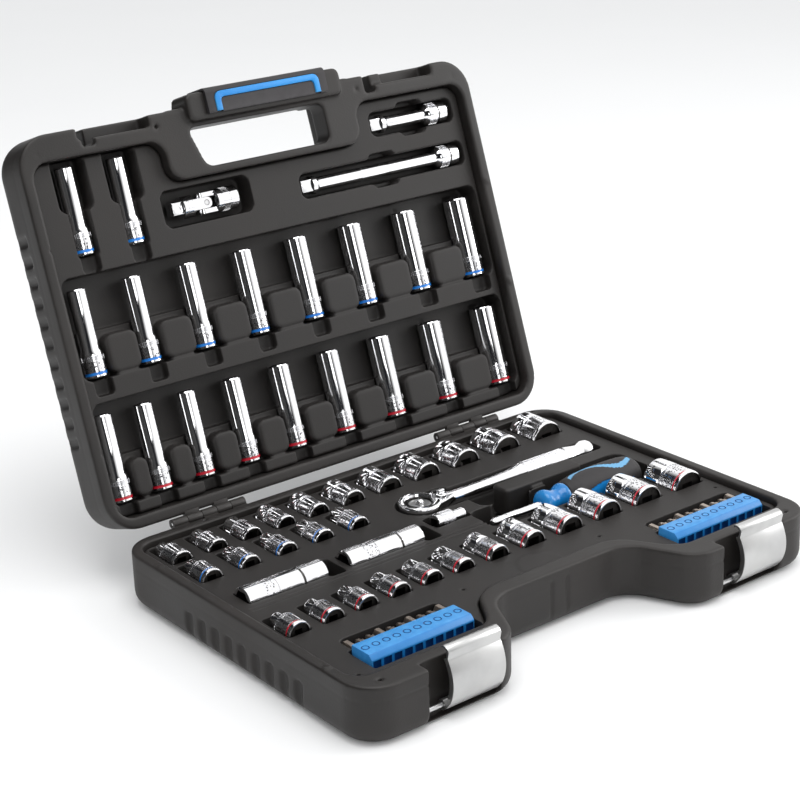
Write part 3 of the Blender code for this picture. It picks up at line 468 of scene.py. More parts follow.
def etchedMetal(name, colour, mark, low=0.52, high=0.6, scale=420.0):
    # plated steel with a dark etched band of broken marks
    material, tree, shader, place = startMaterial(name)
    polish = addGroup(tree, smudgeGroup, place, Cloud_Scale=scale)
    cells = tree.nodes.new("ShaderNodeTexVoronoi")
    cells.distance = "CHEBYCHEV"
    cells.inputs["Scale"].default_value = scale * 1.3
    link(tree, place, "Object", cells, "Vector")
    both = tree.nodes.new("ShaderNodeMath")
    both.operation = "MULTIPLY"
    link(tree, polish, "Cloud", both, 0)
    link(tree, cells, "Distance", both, 1)
    mask = range01(tree, 0.0, 1.0, 0.10, 0.155)
    link(tree, both, 0, mask, "Value")
    tone = blendColours(tree, mark, colour)
    link(tree, mask, "Result", tone, "Factor")
    tree.links.new(tone.outputs["Result"], shader.inputs["Base Color"])
    roughness = range01(tree, 0.45, 0.12)
    link(tree, mask, "Result", roughness, "Value")
    link(tree, roughness, "Result", shader, "Roughness")
    relief = tree.nodes.new("ShaderNodeBump")
    relief.inputs["Strength"].default_value = 0.3
    relief.inputs["Distance"].default_value = 0.00008
    link(tree, mask, "Result", relief, "Height")
    link(tree, relief, "Normal", shader, "Normal")
    shader.inputs["Metallic"].default_value = 1.0
    return material


# the third colour of each plastic is a painted highlight on its sharp edges
casePlastic = plastic("casePlastic", (0.0125, 0.0108, 0.0098), (0.021, 0.018, 0.0165), (0.05, 0.045, 0.042))
trayPlastic = plastic(
    "trayPlastic", (0.0118, 0.0102, 0.0094), (0.019, 0.0165, 0.0152), (0.042, 0.038, 0.036),
    rough=(0.5, 0.64), grain=1300.0,
)
chromePlate = metal("chromePlate", (0.93, 0.93, 0.94), (0.84, 0.84, 0.86), rough=(0.05, 0.12))
knurlPlate = metal("knurlPlate", (0.88, 0.88, 0.9), (0.62, 0.62, 0.65), rough=(0.14, 0.3), cloud=900.0)
etchedPlate = etchedMetal("etchedPlate", (0.86, 0.86, 0.88), (0.06, 0.06, 0.065))
# dark steel as painted shade inside bores and grooves
paintedShadeSteel = metal("paintedShadeSteel", (0.10, 0.095, 0.09), (0.05, 0.045, 0.042), rough=(0.3, 0.5), cloud=300.0)
satinSteel = metal(
    "satinSteel", (0.66, 0.66, 0.66), (0.54, 0.54, 0.55),
    rough=(0.26, 0.38), stretch=(0.1, 6, 6), bump=0.35, cloud=40.0,
)
bitSteel = metal("bitSteel", (0.42, 0.36, 0.31), (0.28, 0.24, 0.21), rough=(0.3, 0.46), cloud=260.0)
blueBand = plastic(
    "blueBand", (0.01, 0.13, 0.5), (0.015, 0.2, 0.62), (0.2, 0.45, 0.8), rough=(0.2, 0.3), coat=0.5
)
redBand = plastic(
    "redBand", (0.42, 0.008, 0.02), (0.5, 0.012, 0.03), (0.7, 0.2, 0.2), rough=(0.2, 0.3), coat=0.5
)
railBlue = plastic(
    "railBlue", (0.008, 0.14, 0.42), (0.012, 0.18, 0.5), (0.08, 0.35, 0.7), rough=(0.3, 0.42), grain=1500.0
)
# darker blue as painted shade in the rail's slots and ring grooves
slotShadeBlue = plastic(
    "slotShadeBlue", (0.002, 0.035, 0.16), (0.003, 0.05, 0.2), (0.01, 0.12, 0.3), rough=(0.34, 0.46)
)
paleBlue = plastic("paleBlue", (0.10, 0.30, 0.52), (0.14, 0.36, 0.58), (0.4, 0.65, 0.85), rough=(0.35, 0.5))
gripRubber = plastic(
    "gripRubber", (0.016, 0.0145, 0.0155), (0.027, 0.0245, 0.026), (0.06, 0.056, 0.06),
    rough=(0.5, 0.65), grain=2200.0,
)
print("finishes ready")


# camera, floor and lights
viewSet = {
    "place": (-0.7707, -0.9141, 0.5867),
    "azimuth": 38.01,
    "elevation": 20.79,
    "roll": -1.75,
    "lens": 86.96,
}


def makeCamera():
    azimuth, elevation, roll = (math.radians(viewSet[k]) for k in ("azimuth", "elevation", "roll"))
    aim = Vector((
        math.sin(azimuth) * math.cos(elevation),
        math.cos(azimuth) * math.cos(elevation),
        -math.sin(elevation),
    ))
    flat = aim.cross(Vector((0, 0, 1))).normalized()
    rise = flat.cross(aim)
    right = flat * math.cos(roll) + rise * math.sin(roll)
    up = rise * math.cos(roll) - flat * math.sin(roll)
    data = bpy.data.cameras.new("viewCamera")
    data.lens = viewSet["lens"]
    data.sensor_width = 36
    data.clip_start = 0.01
    camera = bpy.data.objects.new("viewCamera", data)
    bpy.context.scene.collection.objects.link(camera)
    turn = Matrix((right, up, -aim)).transposed().to_4x4()
    camera.matrix_world = Matrix.Translation(Vector(viewSet["place"])) @ turn
    bpy.context.scene.camera = camera


def softLight(name, place, target, size, power, sizeY=None):
    data = bpy.data.lights.new(name, "AREA")
    data.energy = power
    data.shape = "RECTANGLE"
    data.size = size
    data.size_y = sizeY or size
    lamp = bpy.data.objects.new(name, data)
    bpy.context.scene.collection.objects.link(lamp)
    lamp.location = place
    lamp.rotation_euler = (Vector(target) - Vector(place)).to_track_quat("-Z", "Y").to_euler()
    return lamp


def makeStage():
    deselect()
    bpy.ops.mesh.primitive_plane_add(size=14, location=(0, 0, 0))
    floor = settle("studioFloor")
    material, tree, shader, place = startMaterial("paleFloor")
    noise = tree.nodes.new("ShaderNodeTexNoise")
    noise.inputs["Scale"].default_value = 3
    link(tree, place, "Object", noise, "Vector")
    tone = blendColours(tree, (0.86, 0.86, 0.86), (0.88, 0.88, 0.88))
    link(tree, noise, "Fac", tone, "Factor")
    tree.links.new(tone.outputs["Result"], shader.inputs["Base Color"])
    shader.inputs["Roughness"].default_value = 0.9
    dress(floor, material)
    makeSky()
    softLight("topLight", (-0.2, -0.3, 1.9), (0, 0, 0.05), 1.3, 16)
    softLight("rightLight", (1.5, -0.7, 0.9), (0, 0, 0.12), 0.9, 14, 1.4)
    softLight("frontLight", (-0.6, -1.9, 0.9), (0, 0, 0.15), 0.8, 5)
    deselect()
    bpy.ops.mesh.primitive_plane_add(size=1, location=(-1.05, 0.5, 0.55), rotation=(0, math.pi / 2, 0))
    card = bpy.context.object
    card.scale = (1.1, 2.8, 1)
    card = settle("darkCard")
    black, _, blackShader, _ = startMaterial("darkCard")
    blackShader.inputs["Base Color"].default_value = (0.01, 0.01, 0.01, 1)
    blackShader.inputs["Roughness"].default_value = 0.9
    dress(card, black)
    card.visible_camera = False
    card.visible_diffuse = False
    card.visible_shadow = False
    bpy.context.scene.view_settings.view_transform = "Standard"


def makeSky():
    # even light for the floor, and a dark to bright sweep for the plated tools to mirror
    world = bpy.data.worlds.new("studioWorld")
    bpy.context.scene.world = world
    world.use_nodes = True
    tree = world.node_tree
    place = tree.nodes.new("ShaderNodeTexCoord")
    parts = tree.nodes.new("ShaderNodeSeparateXYZ")
    link(tree, place, "Generated", parts, "Vector")
    across = tree.nodes.new("ShaderNodeMath")
    across.operation = "MULTIPLY_ADD"
    across.inputs[1].default_value = 0.45
    across.inputs[2].default_value = 0.45
    link(tree, parts, "X", across, 0)
    height = tree.nodes.new("ShaderNodeMath")
    height.operation = "MULTIPLY_ADD"
    height.inputs[1].default_value = 0.22
    link(tree, parts, "Z", height, 0)
    link(tree, across, 0, height, 2)
    ramp = tree.nodes.new("ShaderNodeValToRGB")
    ramp.color_ramp.elements[0].position = 0.5
    ramp.color_ramp.elements[0].color = (0.012, 0.012, 0.014, 1)
    ramp.color_ramp.elements[1].position = 0.68
    ramp.color_ramp.elements[1].color = (1.0, 1.0, 1.0, 1)
    link(tree, height, 0, ramp, "Fac")
    ray = tree.nodes.new("ShaderNodeLightPath")
    mirror = tree.nodes["Background"]
    mirror.inputs["Strength"].default_value = 1.15
    link(tree, ramp, "Color", mirror, "Color")
    even = tree.nodes.new("ShaderNodeBackground")
    even.inputs["Color"].default_value = (0.98, 0.99, 1.0, 1)
    even.inputs["Strength"].default_value = 0.9
    both = tree.nodes.new("ShaderNodeMixShader")
    link(tree, ray, "Is Glossy Ray", both, "Fac")
    link(tree, even, "Background", both, 1)
    link(tree, mirror, "Background", both, 2)
    link(tree, both, "Shader", tree.nodes["World Output"], "Surface")


makeCamera()
makeStage()
print("camera and stage ready")


# case base
caseSet = {
    "half": 195,
    "front": -137,
    "rear": 135,
    "rim": 40,
    "corner": 24,
    "underRound": 11,
    "recess": (58, 80, -90),
    "trayHalf": 186,
    "trayFront": -116,
    "trayRear": 126,
    "trayRecess": (60, 84, -76),
    "trayTop": 36,
    "latches": (-113.5, 138.5),
}


def caseSolid(name, half, front, rear, recess, low, high, corner, inset=0.0):
    half, front, rear = half - inset, front + inset, rear - inset
    near, far, wall = recess[0] + inset, recess[1] + inset, recess[2] + inset
    solid = block(name, -half, half, front, rear, low, high)
    slope = (far - near) / (wall - front)
    gap = block("gap", -near, near, front - 60, wall, low - 5, high + 5)
    pickFaces(gap, lambda centre, normal: normal.y < -0.9)
    bpy.ops.transform.resize(value=((near + slope * (wall - front + 60)) / near, 1, 1))
    bpy.ops.object.mode_set(mode="OBJECT")
    carve(solid, gap)
    bevelWhere(solid, lambda a, b: upright(a, b) and abs(a.x) > far + 5, max(2, corner - inset), 12)
    bevelWhere(solid, lambda a, b: upright(a, b) and abs(a.x) < far + 3 and a.y < front + 1, 13, 8)
    bevelWhere(solid, lambda a, b: upright(a, b) and abs(abs(a.x) - near) < 2 and abs(a.y - wall) < 1, 14, 8)
    return solid


def caseRing(name, low, high, depth):
    # a shallow groove all round the side walls
    s = caseSet
    sides = (s["half"], s["front"], s["rear"], s["recess"])
    outer = caseSolid(name, *sides, low, high, s["corner"], -1.5)
    inner = caseSolid("inner", *sides, low - 1, high + 1, s["corner"], depth)
    return carve(outer, inner)


def makeBaseShell():
    s = caseSet
    shell = caseSolid("baseCase", s["half"], s["front"], s["rear"], s["recess"], 0, s["rim"], s["corner"])
    bevelWhere(shell, level(0), s["underRound"], 6)
    bevelWhere(shell, level(s["rim"]), 1.2, 2)
    hollow = caseSolid(
        "hollow", s["trayHalf"], s["trayFront"], s["trayRear"], s["trayRecess"], 4, s["rim"] + 6, 12, -0.5
    )
    bevelWhere(hollow, level(4), 6, 3)
    carve(shell, hollow)
    carve(shell, caseRing("partingLine", 29.2, 30.4, 0.9), caseRing("partingStep", 25.6, 26.6, 0.7))
    for x in s["latches"]:
        carve(shell, softBlock("latchPocket", x - 34, x + 22.5, -160, -126.6, 2.6, 60, 1.2))
    for x in (-7.0, 7.0):
        carve(shell, softBlock("recessGroove", x - 1.4, x + 1.4, -96, -88.6, 6, 34, 0.8))
    for x in (-150, -128, 150, 176):
        carve(shell, rod("rimHole", x, 131, 40, 1.4, 8, sides=16))
    for x in (-176, 176):
        carve(shell, rod("rimHole", x, -126, 40, 1.6, 8, sides=16))
    for i in range(9):  # wavy hand grip under the left wall
        wave = rod("gripWave", -197.6, -70 + 15 * i, 9, 5.2, 26, axis="Z", sides=20)
        carve(shell, wave)
    for y in (-95, 88):  # snap studs on the rim
        stud = rod("rimStud", -190.5, y, 39, 2.0, 3.4, sides=18)
        fuse(shell, stud)
    mould(shell, 1.15, 2, 170000)
    dress(shell, casePlastic)
    return show(shell, "base", "case_plastic", "base_shell")


def socketPocket(name, x, y0, y1, z, radius, axis="Y", clear=0.6):
    # half-round trough that is open upwards
    if axis == "Y":
        bed = rod(name, x, (y0 + y1) / 2, z, radius + clear, y1 - y0, "Y", 40)
        mouth = block("mouth", x - radius - clear, x + radius + clear, y0, y1, z, 60)
    else:
        bed = rod(name, (y0 + y1) / 2, x, z, radius + clear, y1 - y0, "X", 40)
        mouth = block("mouth", y0, y1, x - radius - clear, x + radius + clear, z, 60)
    return bed, mouth


def spread(first, pitch, growth, count, steady):
    places = [first]
    for i in range(count - 1):
        places.append(places[-1] + pitch + growth * max(0, i - steady))
    return places


shallowRows = {
    "rear": {"x": spread(-171, 28.2, 2.2, 11, 3), "y": (92, 119)},
    "second": {"x": spread(-171, 30.2, 0, 5, 0), "y": (56, 83)},
}


def rearSizes():
    # place, drive end radius, open end radius and span of the sockets that ride on the base
    found = []
    for i, x in enumerate(shallowRows["rear"]["x"]):
        open_ = (2.2 + 1.25 * (6.0 + 1.4 * i) + 1.5) / 2
        found.append((f"rearSocket{i + 1:02d}", x, max(8.3, open_), max(5.4, open_), 92, 119 + (i > 8) * 1.5))
    for i, x in enumerate(shallowRows["second"]["x"]):
        found.append((f"secondSocket{i + 1}", x, 8.3, 5.6 + 0.35 * i, 56, 83))
    return found


def axisHeight(radius):
    return min(35, 47 - radius)


def makeBaseTray():
    s = caseSet
    tray = caseSolid(
        "baseTray", s["trayHalf"], s["trayFront"], s["trayRear"], s["trayRecess"], 13, s["trayTop"], 12
    )
    bevelWhere(tray, level(s["trayTop"]), 1.4, 3)
    cuts = []
    for name, x, drive, open_, y0, y1 in rearSizes():
        cuts += socketPocket(name + "Bed", x, y0 - 0.8, y1 + 3.5, axisHeight(drive), drive)
    for i in range(12):
        low, high = caseBox(f"front_socket_{i + 1:02d}")
        x, z, radius = (low[0] + high[0]) / 2, (low[2] + high[2]) / 2, (high[0] - low[0]) / 2 / 0.966
        cuts += socketPocket("frontBed", x, low[1] - 0.8, high[1] + 3.5, z, radius)
    for i in (1, 2):
        low, high = caseBox(f"long_socket_{i}")
        y, z = (low[1] + high[1]) / 2, (low[2] + high[2]) / 2
        cuts += socketPocket("longBed", y, low[0] - 1, high[0] + 9, z, 9.4, "X")
        cuts.append(softBlock("fingerDip", high[0] - 2, high[0] + 12, y - 13, y + 12, 19, 60, 4))
    low, high = caseBox("drive_adapter")
    cuts += socketPocket("adapterBed", (low[1] + high[1]) / 2, low[0] - 4, high[0] + 2, 35, 7, "X")
    cuts.append(softBlock("adapterDip", low[0] - 5, low[0] + 9, 19, 37, 24, 60, 4))
    cuts.append(rod("ratchetWell", 3, 57, 40, 17.5, 52, sides=48))
    cuts.append(softBlock("ratchetNeckWell", 3, 36, 41, 73, 14, 60, 6))
    cuts.append(softBlock("ratchetGripWell", 30, 172, 47, 67.5, 20, 60, 5))
    cuts.append(softBlock("ratchetFingerWell", 34, 84, 24, 50, 17, 60, 8))
    cuts.append(softBlock("driverWell", 18, 170, -9, 24, 16, 60, 8))
    cuts.append(softBlock("driverHandleWell", 92, 172, -12, 34, 16, 60, 9))
    for x0, x1, y0, y1 in ((-163, -83, -102, -82), (94, 178, -104, -86)):
        cuts.append(softBlock("railRoom", x0 - 3, x1 + 2, y0 - 7, y1 + 1, 25, 60, 3))
        cuts.append(softBlock("bitRoom", x0 + 1, x1 - 1, y0 - 1, y1 + 16, 27, 60, 5))
    for y in (1.2, 5.4):
        cuts.append(rod("longGroove", -78, y, 36.3, 1.1, 200, "X", 12))
    for x, y in ((-5, -70), (13, -70)):
        cuts.append(rod("holeInTray", x, y + 10, 36, 1.7, 12, sides=16))
    for x, y in ((-178, -108), (-178, 118), (178, -60), (60, -64), (-60, -64)):
        cuts.append(rod("holeInTray", x, y, 36, 1.3, 8, sides=14))
    carve(tray, *cuts)
    bridge = softBlock("ratchetBlock", 58, 132, 28, 43.5, 20, 40, 3, 1.5)
    lobe = rod("middleLobe", 3, -70, 30, 17, 12.6, sides=40)
    fuse(tray, bridge, lobe)
    cuts = socketPocket("ratchetBed", 57, 8, 170, 33, 8.4, "X")
    carve(tray, *cuts)
    mould(tray, 1.0, 2, 185000)
    dress(tray, trayPlastic)
    return show(tray, "base", "tray_plastic", "base_tray")


# lid
lidSet = {
    "rear": 4,
    "front": 277,
    "depth": 40,
    "corner": 24,
    "backRound": 12,
    "trayTop": -8,
    "trayFloor": -31,
    "trayFront": 258,
    "notch": (84, 228),
    "catchNotches": (-140, 101),
    "ledge": 268.7,
}
deepRows = {
    "lower": {"x0": -173.7, "pitch": 32.3, "grow": 3.06, "count": 9, "y": (23.3, 84.8), "open": (12.0, 1.0)},
    "middle": {"x0": -169.5, "pitch": 43.4, "grow": 1.66, "count": 8, "y": (110, 171.5), "open": (13.0, 1.0)},
    "upper": {"x0": -156.5, "pitch": 40.0, "grow": 0.0, "count": 2, "y": (192.5, 253.5), "open": (11.4, 0.4)},
}


def deepSizes():
    # node, place, drive end and open end radius, span up the lid and height in the lid's flat frame
    found = []
    for row, s in deepRows.items():
        for i in range(s["count"]):
            x = s["x0"] + s["pitch"] * i + s["grow"] / 2 * i * (i - 1)
            open_ = (s["open"][0] + s["open"][1] * i) / 2
            drive = max(8.0, open_)
            found.append((f"deep_socket_{row}_{i + 1}", row, x, drive, open_, *s["y"], -8 - drive))
    return found


def lidTraySolid(name, low, high, extra=0.0):
    s = lidSet
    half, top = caseSet["trayHalf"] + extra, s["trayFront"] + extra
    solid = block(name, -half, half, s["rear"] + 9 - extra, top, low, high)
    side, back = s["notch"][0] - extra, s["notch"][1] + extra
    carve(solid, block("handleBay", -side, side, back, top + 40, low - 5, high + 5))
    bevelWhere(solid, upright, 12, 8)
    return solid


def makeLidShell():
    s = lidSet
    shell = block("lidCase", -195, 195, s["rear"], s["front"], -s["depth"], -0.4)
    bevelWhere(shell, upright, s["corner"], 12)
    bevelWhere(shell, level(-s["depth"]), s["backRound"], 6)
    bevelWhere(shell, level(-0.4), 1.2, 2)
    carve(shell, lidTraySolid("lidOpening", -34, 6, 0.5))
    carve(shell, softBlock("handleBack", -66, 66, 229.5, 300, -60, -18, 5))
    bar = softBlock("handleBar", -61, 73, 266, 286, -18, 4, 5, 2)
    shoulder = softBlock("handleShoulder", -78, 84, 262, 277.6, -30, -0.8, 4, 1.5)
    fuse(shell, shoulder, bar)
    hole = block("handHole", -57, 55, 234, 263, -60, 20)
    pickFaces(hole, lambda centre, normal: normal.x < -0.9)
    bpy.ops.transform.translate(value=(-5 * mm, 0, 0))
    bpy.ops.object.mode_set(mode="OBJECT")
    pickEdges(hole, lambda a, b: upright(a, b) and a.x < 0 and a.y < 240)
    bpy.ops.transform.translate(value=(9 * mm, 0, 0))
    bpy.ops.object.mode_set(mode="OBJECT")
    bevelWhere(hole, upright, 6, 6)
    carve(shell, hole)
    for x, notch in zip(caseSet["latches"], s["catchNotches"]):
        left, right = min(x - 34, notch - 5), x + 22.5
        carve(
            shell,
            block("catchStep", left, right, s["ledge"], 290, -6.5, 6),
            block("catchRoom", x - 22, right, 263.7, 290, -16, -6.4),
            block("catchNotch", notch - 5, notch + 5, 263.7, 290, -50, 6),
        )
    outer = block("lidParting", -197, 197, 2, 279, -12.4, -11.2)
    bevelWhere(outer, upright, 25, 12)
    inner = block("inner", -194.2, 194.2, s["rear"] + 0.8, s["front"] - 0.8, -13, -10)
    bevelWhere(inner, upright, 23.4, 12)
    carve(outer, inner)
    carve(shell, outer)
    for i in range(11):  # wavy hand grip down the left wall
        carve(shell, rod("gripWave", -197.4, 70 + 14 * i, -26, 5.0, 17, axis="Z", sides=20))
    for x, y in ((-180, 264), (-86, 268), (88, 268), (180, 264), (-186, 60), (-186, 200)):
        carve(shell, rod("lidHole", x, y, 0, 1.5, 8, sides=16))
    for y in (100, 180):
        fuse(shell, rod("lidStud", 190.5, y, -0.2, 2.0, 1.8, sides=18))
    mould(shell, 1.15, 2, 170000)
    moveTo(shell, lidPlace)
    dress(shell, casePlastic)
    return show(shell, "lid", "case_plastic", "lid_shell")


def makeLidTray():
    s = lidSet
    tray = lidTraySolid("lidTray", s["trayFloor"], s["trayTop"])
    bevelWhere(tray, level(s["trayTop"]), 1.2, 2)
    rows = deepSizes()
    cuts, pads = [], []
    for row, (x0, x1) in (("lower", (-183, 183)), ("middle", (-183, 183))):
        low, high = deepRows[row]["y"]
        cuts.append(softBlock("rowBed", x0, x1, low - 1.5, high + 8, -21, 10, 7))
        cuts.append(softBlock("rowTrough", x0, x1, low + 31, high + 8, -27, 10, 7))
    for node, row, x, drive, open_, low, high, z in rows:
        bed, mouth = socketPocket("deepBed", x, low - 0.8, high + 3, z, drive, clear=0.5)
        cuts += [bed, mouth]
        if row == "upper":
            cuts.append(softBlock("upperBed", x - 13, x + 13, low + 30, high + 6, -24, 10, 5))
        half = drive * 0.86
        cuts.append(softBlock("ledgeChannel", x - half, x + half, low - 13, low + 2, -15.5, 10, 3))
    cuts.append(softBlock("jointBed", -93, -18, 197, 224, -25, 10, 7))
    for node, y in (("extension_long", 206), ("extension_short", 240)):
        low, high = flatBox(node)
        cuts.append(softBlock("barBed", low[0] - 3, high[0] + 4, y - 9.2, y + 9.2, -25, 10, 5))
        middle = (low[0] + high[0]) / 2
        cuts.append(softBlock("barDip", middle - 14, middle + 14, y - 13, y + 13, -22, 10, 7))
    carve(tray, *cuts)
    for row in ("lower", "middle"):
        same = [r for r in rows if r[1] == row]
        low = deepRows[row]["y"][0]
        for a, b in zip(same, same[1:]):
            x0, x1 = a[2] + a[3] + 1.6, b[2] - b[3] - 1.6
            pads.append(softBlock("pad", x0, x1, low, low + 27, -30, -8.6, 6, 2))
    fuse(tray, *pads)
    mould(tray, 1.0, 2, 190000)
    moveTo(tray, lidPlace)
    dress(tray, trayPlastic)
    return show(tray, "lid", "tray_plastic", "lid_tray")


makeBaseShell()
makeBaseTray()
print("base moulded")
makeLidShell()
makeLidTray()
print("lid moulded")
# sockets
socketSet = {
    "square": 9.6,
    "squareDepth": 10.5,
    "sides": 72,
}


def squareHole(z0, z1, side):
    hole = rod("squareHole", 0, 0, (z0 + z1) / 2, side / 2 * math.sqrt(2), z1 - z0, "Z", 4)
    return moveTo(hole, Matrix.Rotation(math.radians(45), 4, "Z"))


def hexHole(z0, z1, flats):
    return rod("hexHole", 0, 0, (z0 + z1) / 2, flats / 2 / math.cos(math.pi / 6), z1 - z0, "Z", 6)


def knurl(obj, z0, z1, depth=0.22):
    ringFaces(obj, z0, z1, 2, socketSet["sides"])
    bpy.ops.mesh.inset(thickness=0.08 * mm, depth=-depth * mm, use_individual=True)
    bpy.ops.object.mode_set(mode="OBJECT")


def flutes(obj, z0, z1, depth, every=3, of=18):
    ringFaces(obj, z0, z1, every, of)
    bpy.ops.mesh.inset(thickness=0.12 * mm, depth=-depth * mm, use_individual=False)
    bpy.ops.object.mode_set(mode="OBJECT")


def paintSocket(obj, length, bore, zones):
    # materials: plate, etched plate, knurled plate, coloured band, and dark steel as painted shade in the
    # bore
    for face in obj.data.polygons:
        centre, normal = face.center / mm, face.normal
        radius = math.hypot(centre.x, centre.y)
        outward = centre.x * normal.x + centre.y * normal.y
        index = 0
        # faces inside the bore take the dark steel as painted shade
        if abs(normal.z) > 0.7:
            index = 4 if 0.4 < centre.z < length - 0.4 and radius < bore else 0
        elif outward < -0.5 and radius < bore + 0.6:
            index = 4
        else:
            for low, high, choice in zones:
                if low < centre.z < high:
                    index = choice
        face.material_index = index
    return obj


def makeSocket(name, length, drive, open_, band, deep):
    flats = (2 * open_ - 2.2) / 1.25
    square = min(socketSet["square"], 2 * drive - 5, flats - 0.6)
    step = min(0.62 * length, 18)
    open_ = max(open_, drive - 0.9) if deep else open_
    if deep:
        profile = [
            (0, drive - 0.8), (0.8, drive), (2.0, drive), (2.1, drive - 0.25), (3.9, drive - 0.25),
            (4.0, drive), (11.4, drive), (11.5, drive - 0.35), (12.0, drive - 0.35), (12.1, drive),
            (15.2, drive), (15.3, drive - 0.2), (step, drive - 0.2), (step + 1.4, open_ - 0.1),
            (length - 0.8, open_), (length, open_ - 0.5),
        ]
        zones = ((2.0, 4.0, 3), (4.0, 11.4, 1), (12.1, 15.2, 2))
    else:
        profile = [
            (0, drive - 0.9), (0.3, drive - 0.3), (0.9, drive), (2.5, drive), (2.6, drive - 0.45),
            (3.8, drive - 0.45), (3.9, drive), (step - 3.4, drive), (step - 3.3, drive - 0.35),
            (step - 2.9, drive - 0.35), (step - 2.8, drive), (step - 0.5, drive), (step, drive - 0.4),
            (step + 0.9, open_), (length - 0.9, open_), (length - 0.3, open_ - 0.25),
            (length, open_ - 0.8),
        ]
        zones = ((2.5, 3.9, 3), (3.9, step - 3.4, 1), (step - 2.8, step - 0.5, 2))
    obj = lathe(name, profile, socketSet["sides"])
    knurl(obj, *((12.1, 15.2) if deep else (step - 2.8, step - 0.5)))
    if not deep:
        flutes(obj, step + 0.9, length - 0.9, min(0.9, (open_ - flats / 2) * 0.45))
    reach = flats / 2 / math.cos(math.pi / 6)
    mouth = lathe("mouth", [(length - 1.0, reach - 0.6), (length + 0.1, min(reach + 0.5, open_ - 0.35))], 48)
    deepest = socketSet["squareDepth"]
    cutters = [squareHole(-1, deepest + 0.2, square), hexHole(deepest, length + 1, flats)]
    if not deep:
        rim = drive - 1.25
        cutters.append(lathe("endRecess", [(-0.5, rim + 0.2), (0.2, rim), (1.5, rim - 0.2)], 48))
    carve(obj, mouth, *cutters)
    paintSocket(obj, length, max(reach, 0 if deep else drive - 1.2), zones)
    smooth(obj, 32)
    dress(obj, chromePlate, etchedPlate, knurlPlate, band, paintedShadeSteel)
    return obj


def makeSockets():
    for node, row, x, drive, open_, low, high, z in deepSizes():
        band = redBand if row == "lower" else blueBand
        name = "deep" + row.capitalize() + node[-1]
        obj = makeSocket(name, high - low, drive, open_, band, True)
        moveTo(obj, lidPlace @ lay("+Y", x, low, z))
        show(obj, "lift_" + node, "chrome", node)
    for i in range(12):
        node = f"front_socket_{i + 1:02d}"
        low, high = caseBox(node)
        drive = (high[0] - low[0]) / 2 / math.cos(math.pi / 12)
        sixteenths = 4.0 + 0.5 * min(i, 4) + max(0, i - 4)
        open_ = (2.2 + 1.25 * sixteenths * 25.4 / 16) / 2
        obj = makeSocket(f"frontSocket{i + 1:02d}", high[1] - low[1], drive, open_, redBand, False)
        moveTo(obj, lay("+Y", (low[0] + high[0]) / 2, low[1], (low[2] + high[2]) / 2))
        show(obj, "lift_" + node, "chrome", node)
    for name, x, drive, open_, y0, y1 in rearSizes():
        band = darkBand if name.startswith("rear") else blueBand
        obj = makeSocket(name, y1 - y0, drive, open_, band, False)
        moveTo(obj, lay("+Y", x, y0, axisHeight(drive)))
        show(obj, "base", "chrome")


def makeLongSockets():
    for i in (1, 2):
        node = f"long_socket_{i}"
        low, high = caseBox(node)
        y, z = (low[1] + high[1]) / 2, (low[2] + high[2]) / 2
        length = high[0] - low[0]
        profile = [
            (0, 8.4), (0.7, 9.2), (2.2, 9.2), (14.0, 9.2), (14.1, 9.0), (24, 9.0), (24.1, 9.2), (43.0, 9.2),
            (43.2, 8.6), (44.6, 8.6), (44.8, 9.2), (length - 0.8, 9.2), (length, 8.5),
        ]
        obj = lathe(f"longSocket{i}", profile, 72)
        carve(obj, hexHole(-1, length - 11, 13.2), squareHole(length - 12, length + 1, 9.0))
        # the bore and the narrow groove get dark steel as painted shade
        paintSocket(obj, length, 8.0, ((14.0, 24.1, 1), (43.1, 44.7, 4)))
        smooth(obj, 32)
        dress(obj, chromePlate, etchedPlate, knurlPlate, redBand, paintedShadeSteel)
        moveTo(obj, lay("+X", low[0], y, z))
        show(obj, "lift_" + node, "chrome", node)
    low, high = caseBox("drive_adapter")
    y, z = (low[1] + high[1]) / 2, (low[2] + high[2]) / 2
    profile = [
        (0, 5.6), (0.5, 6.2), (3.0, 6.2), (3.2, 5.8), (4.2, 5.8), (4.4, 6.2), (15.0, 6.2), (16.4, 4.8),
        (17, 4.4), (25.4, 4.4), (26, 4.0),
    ]
    obj = lathe("driveAdapter", profile, 72)
    knurl(obj, 4.4, 15.0, 0.2)
    carve(obj, squareHole(-1, 10, 6.4), rod("boltHole", 0, 0, 20, 2.2, 22, "Z", 24))
    paintSocket(obj, 26, 4.4, ((4.4, 15.0, 2),))
    dress(smooth(obj, 32), chromePlate, etchedPlate, knurlPlate, redBand, paintedShadeSteel)
    moveTo(obj, lay("+X", low[0], y, z))
    show(obj, "lift_drive_adapter", "chrome", "drive_adapter")


# ratchet and driver
ratchetSet = {"x": 3.0, "y": 57.0, "z": 33.0}


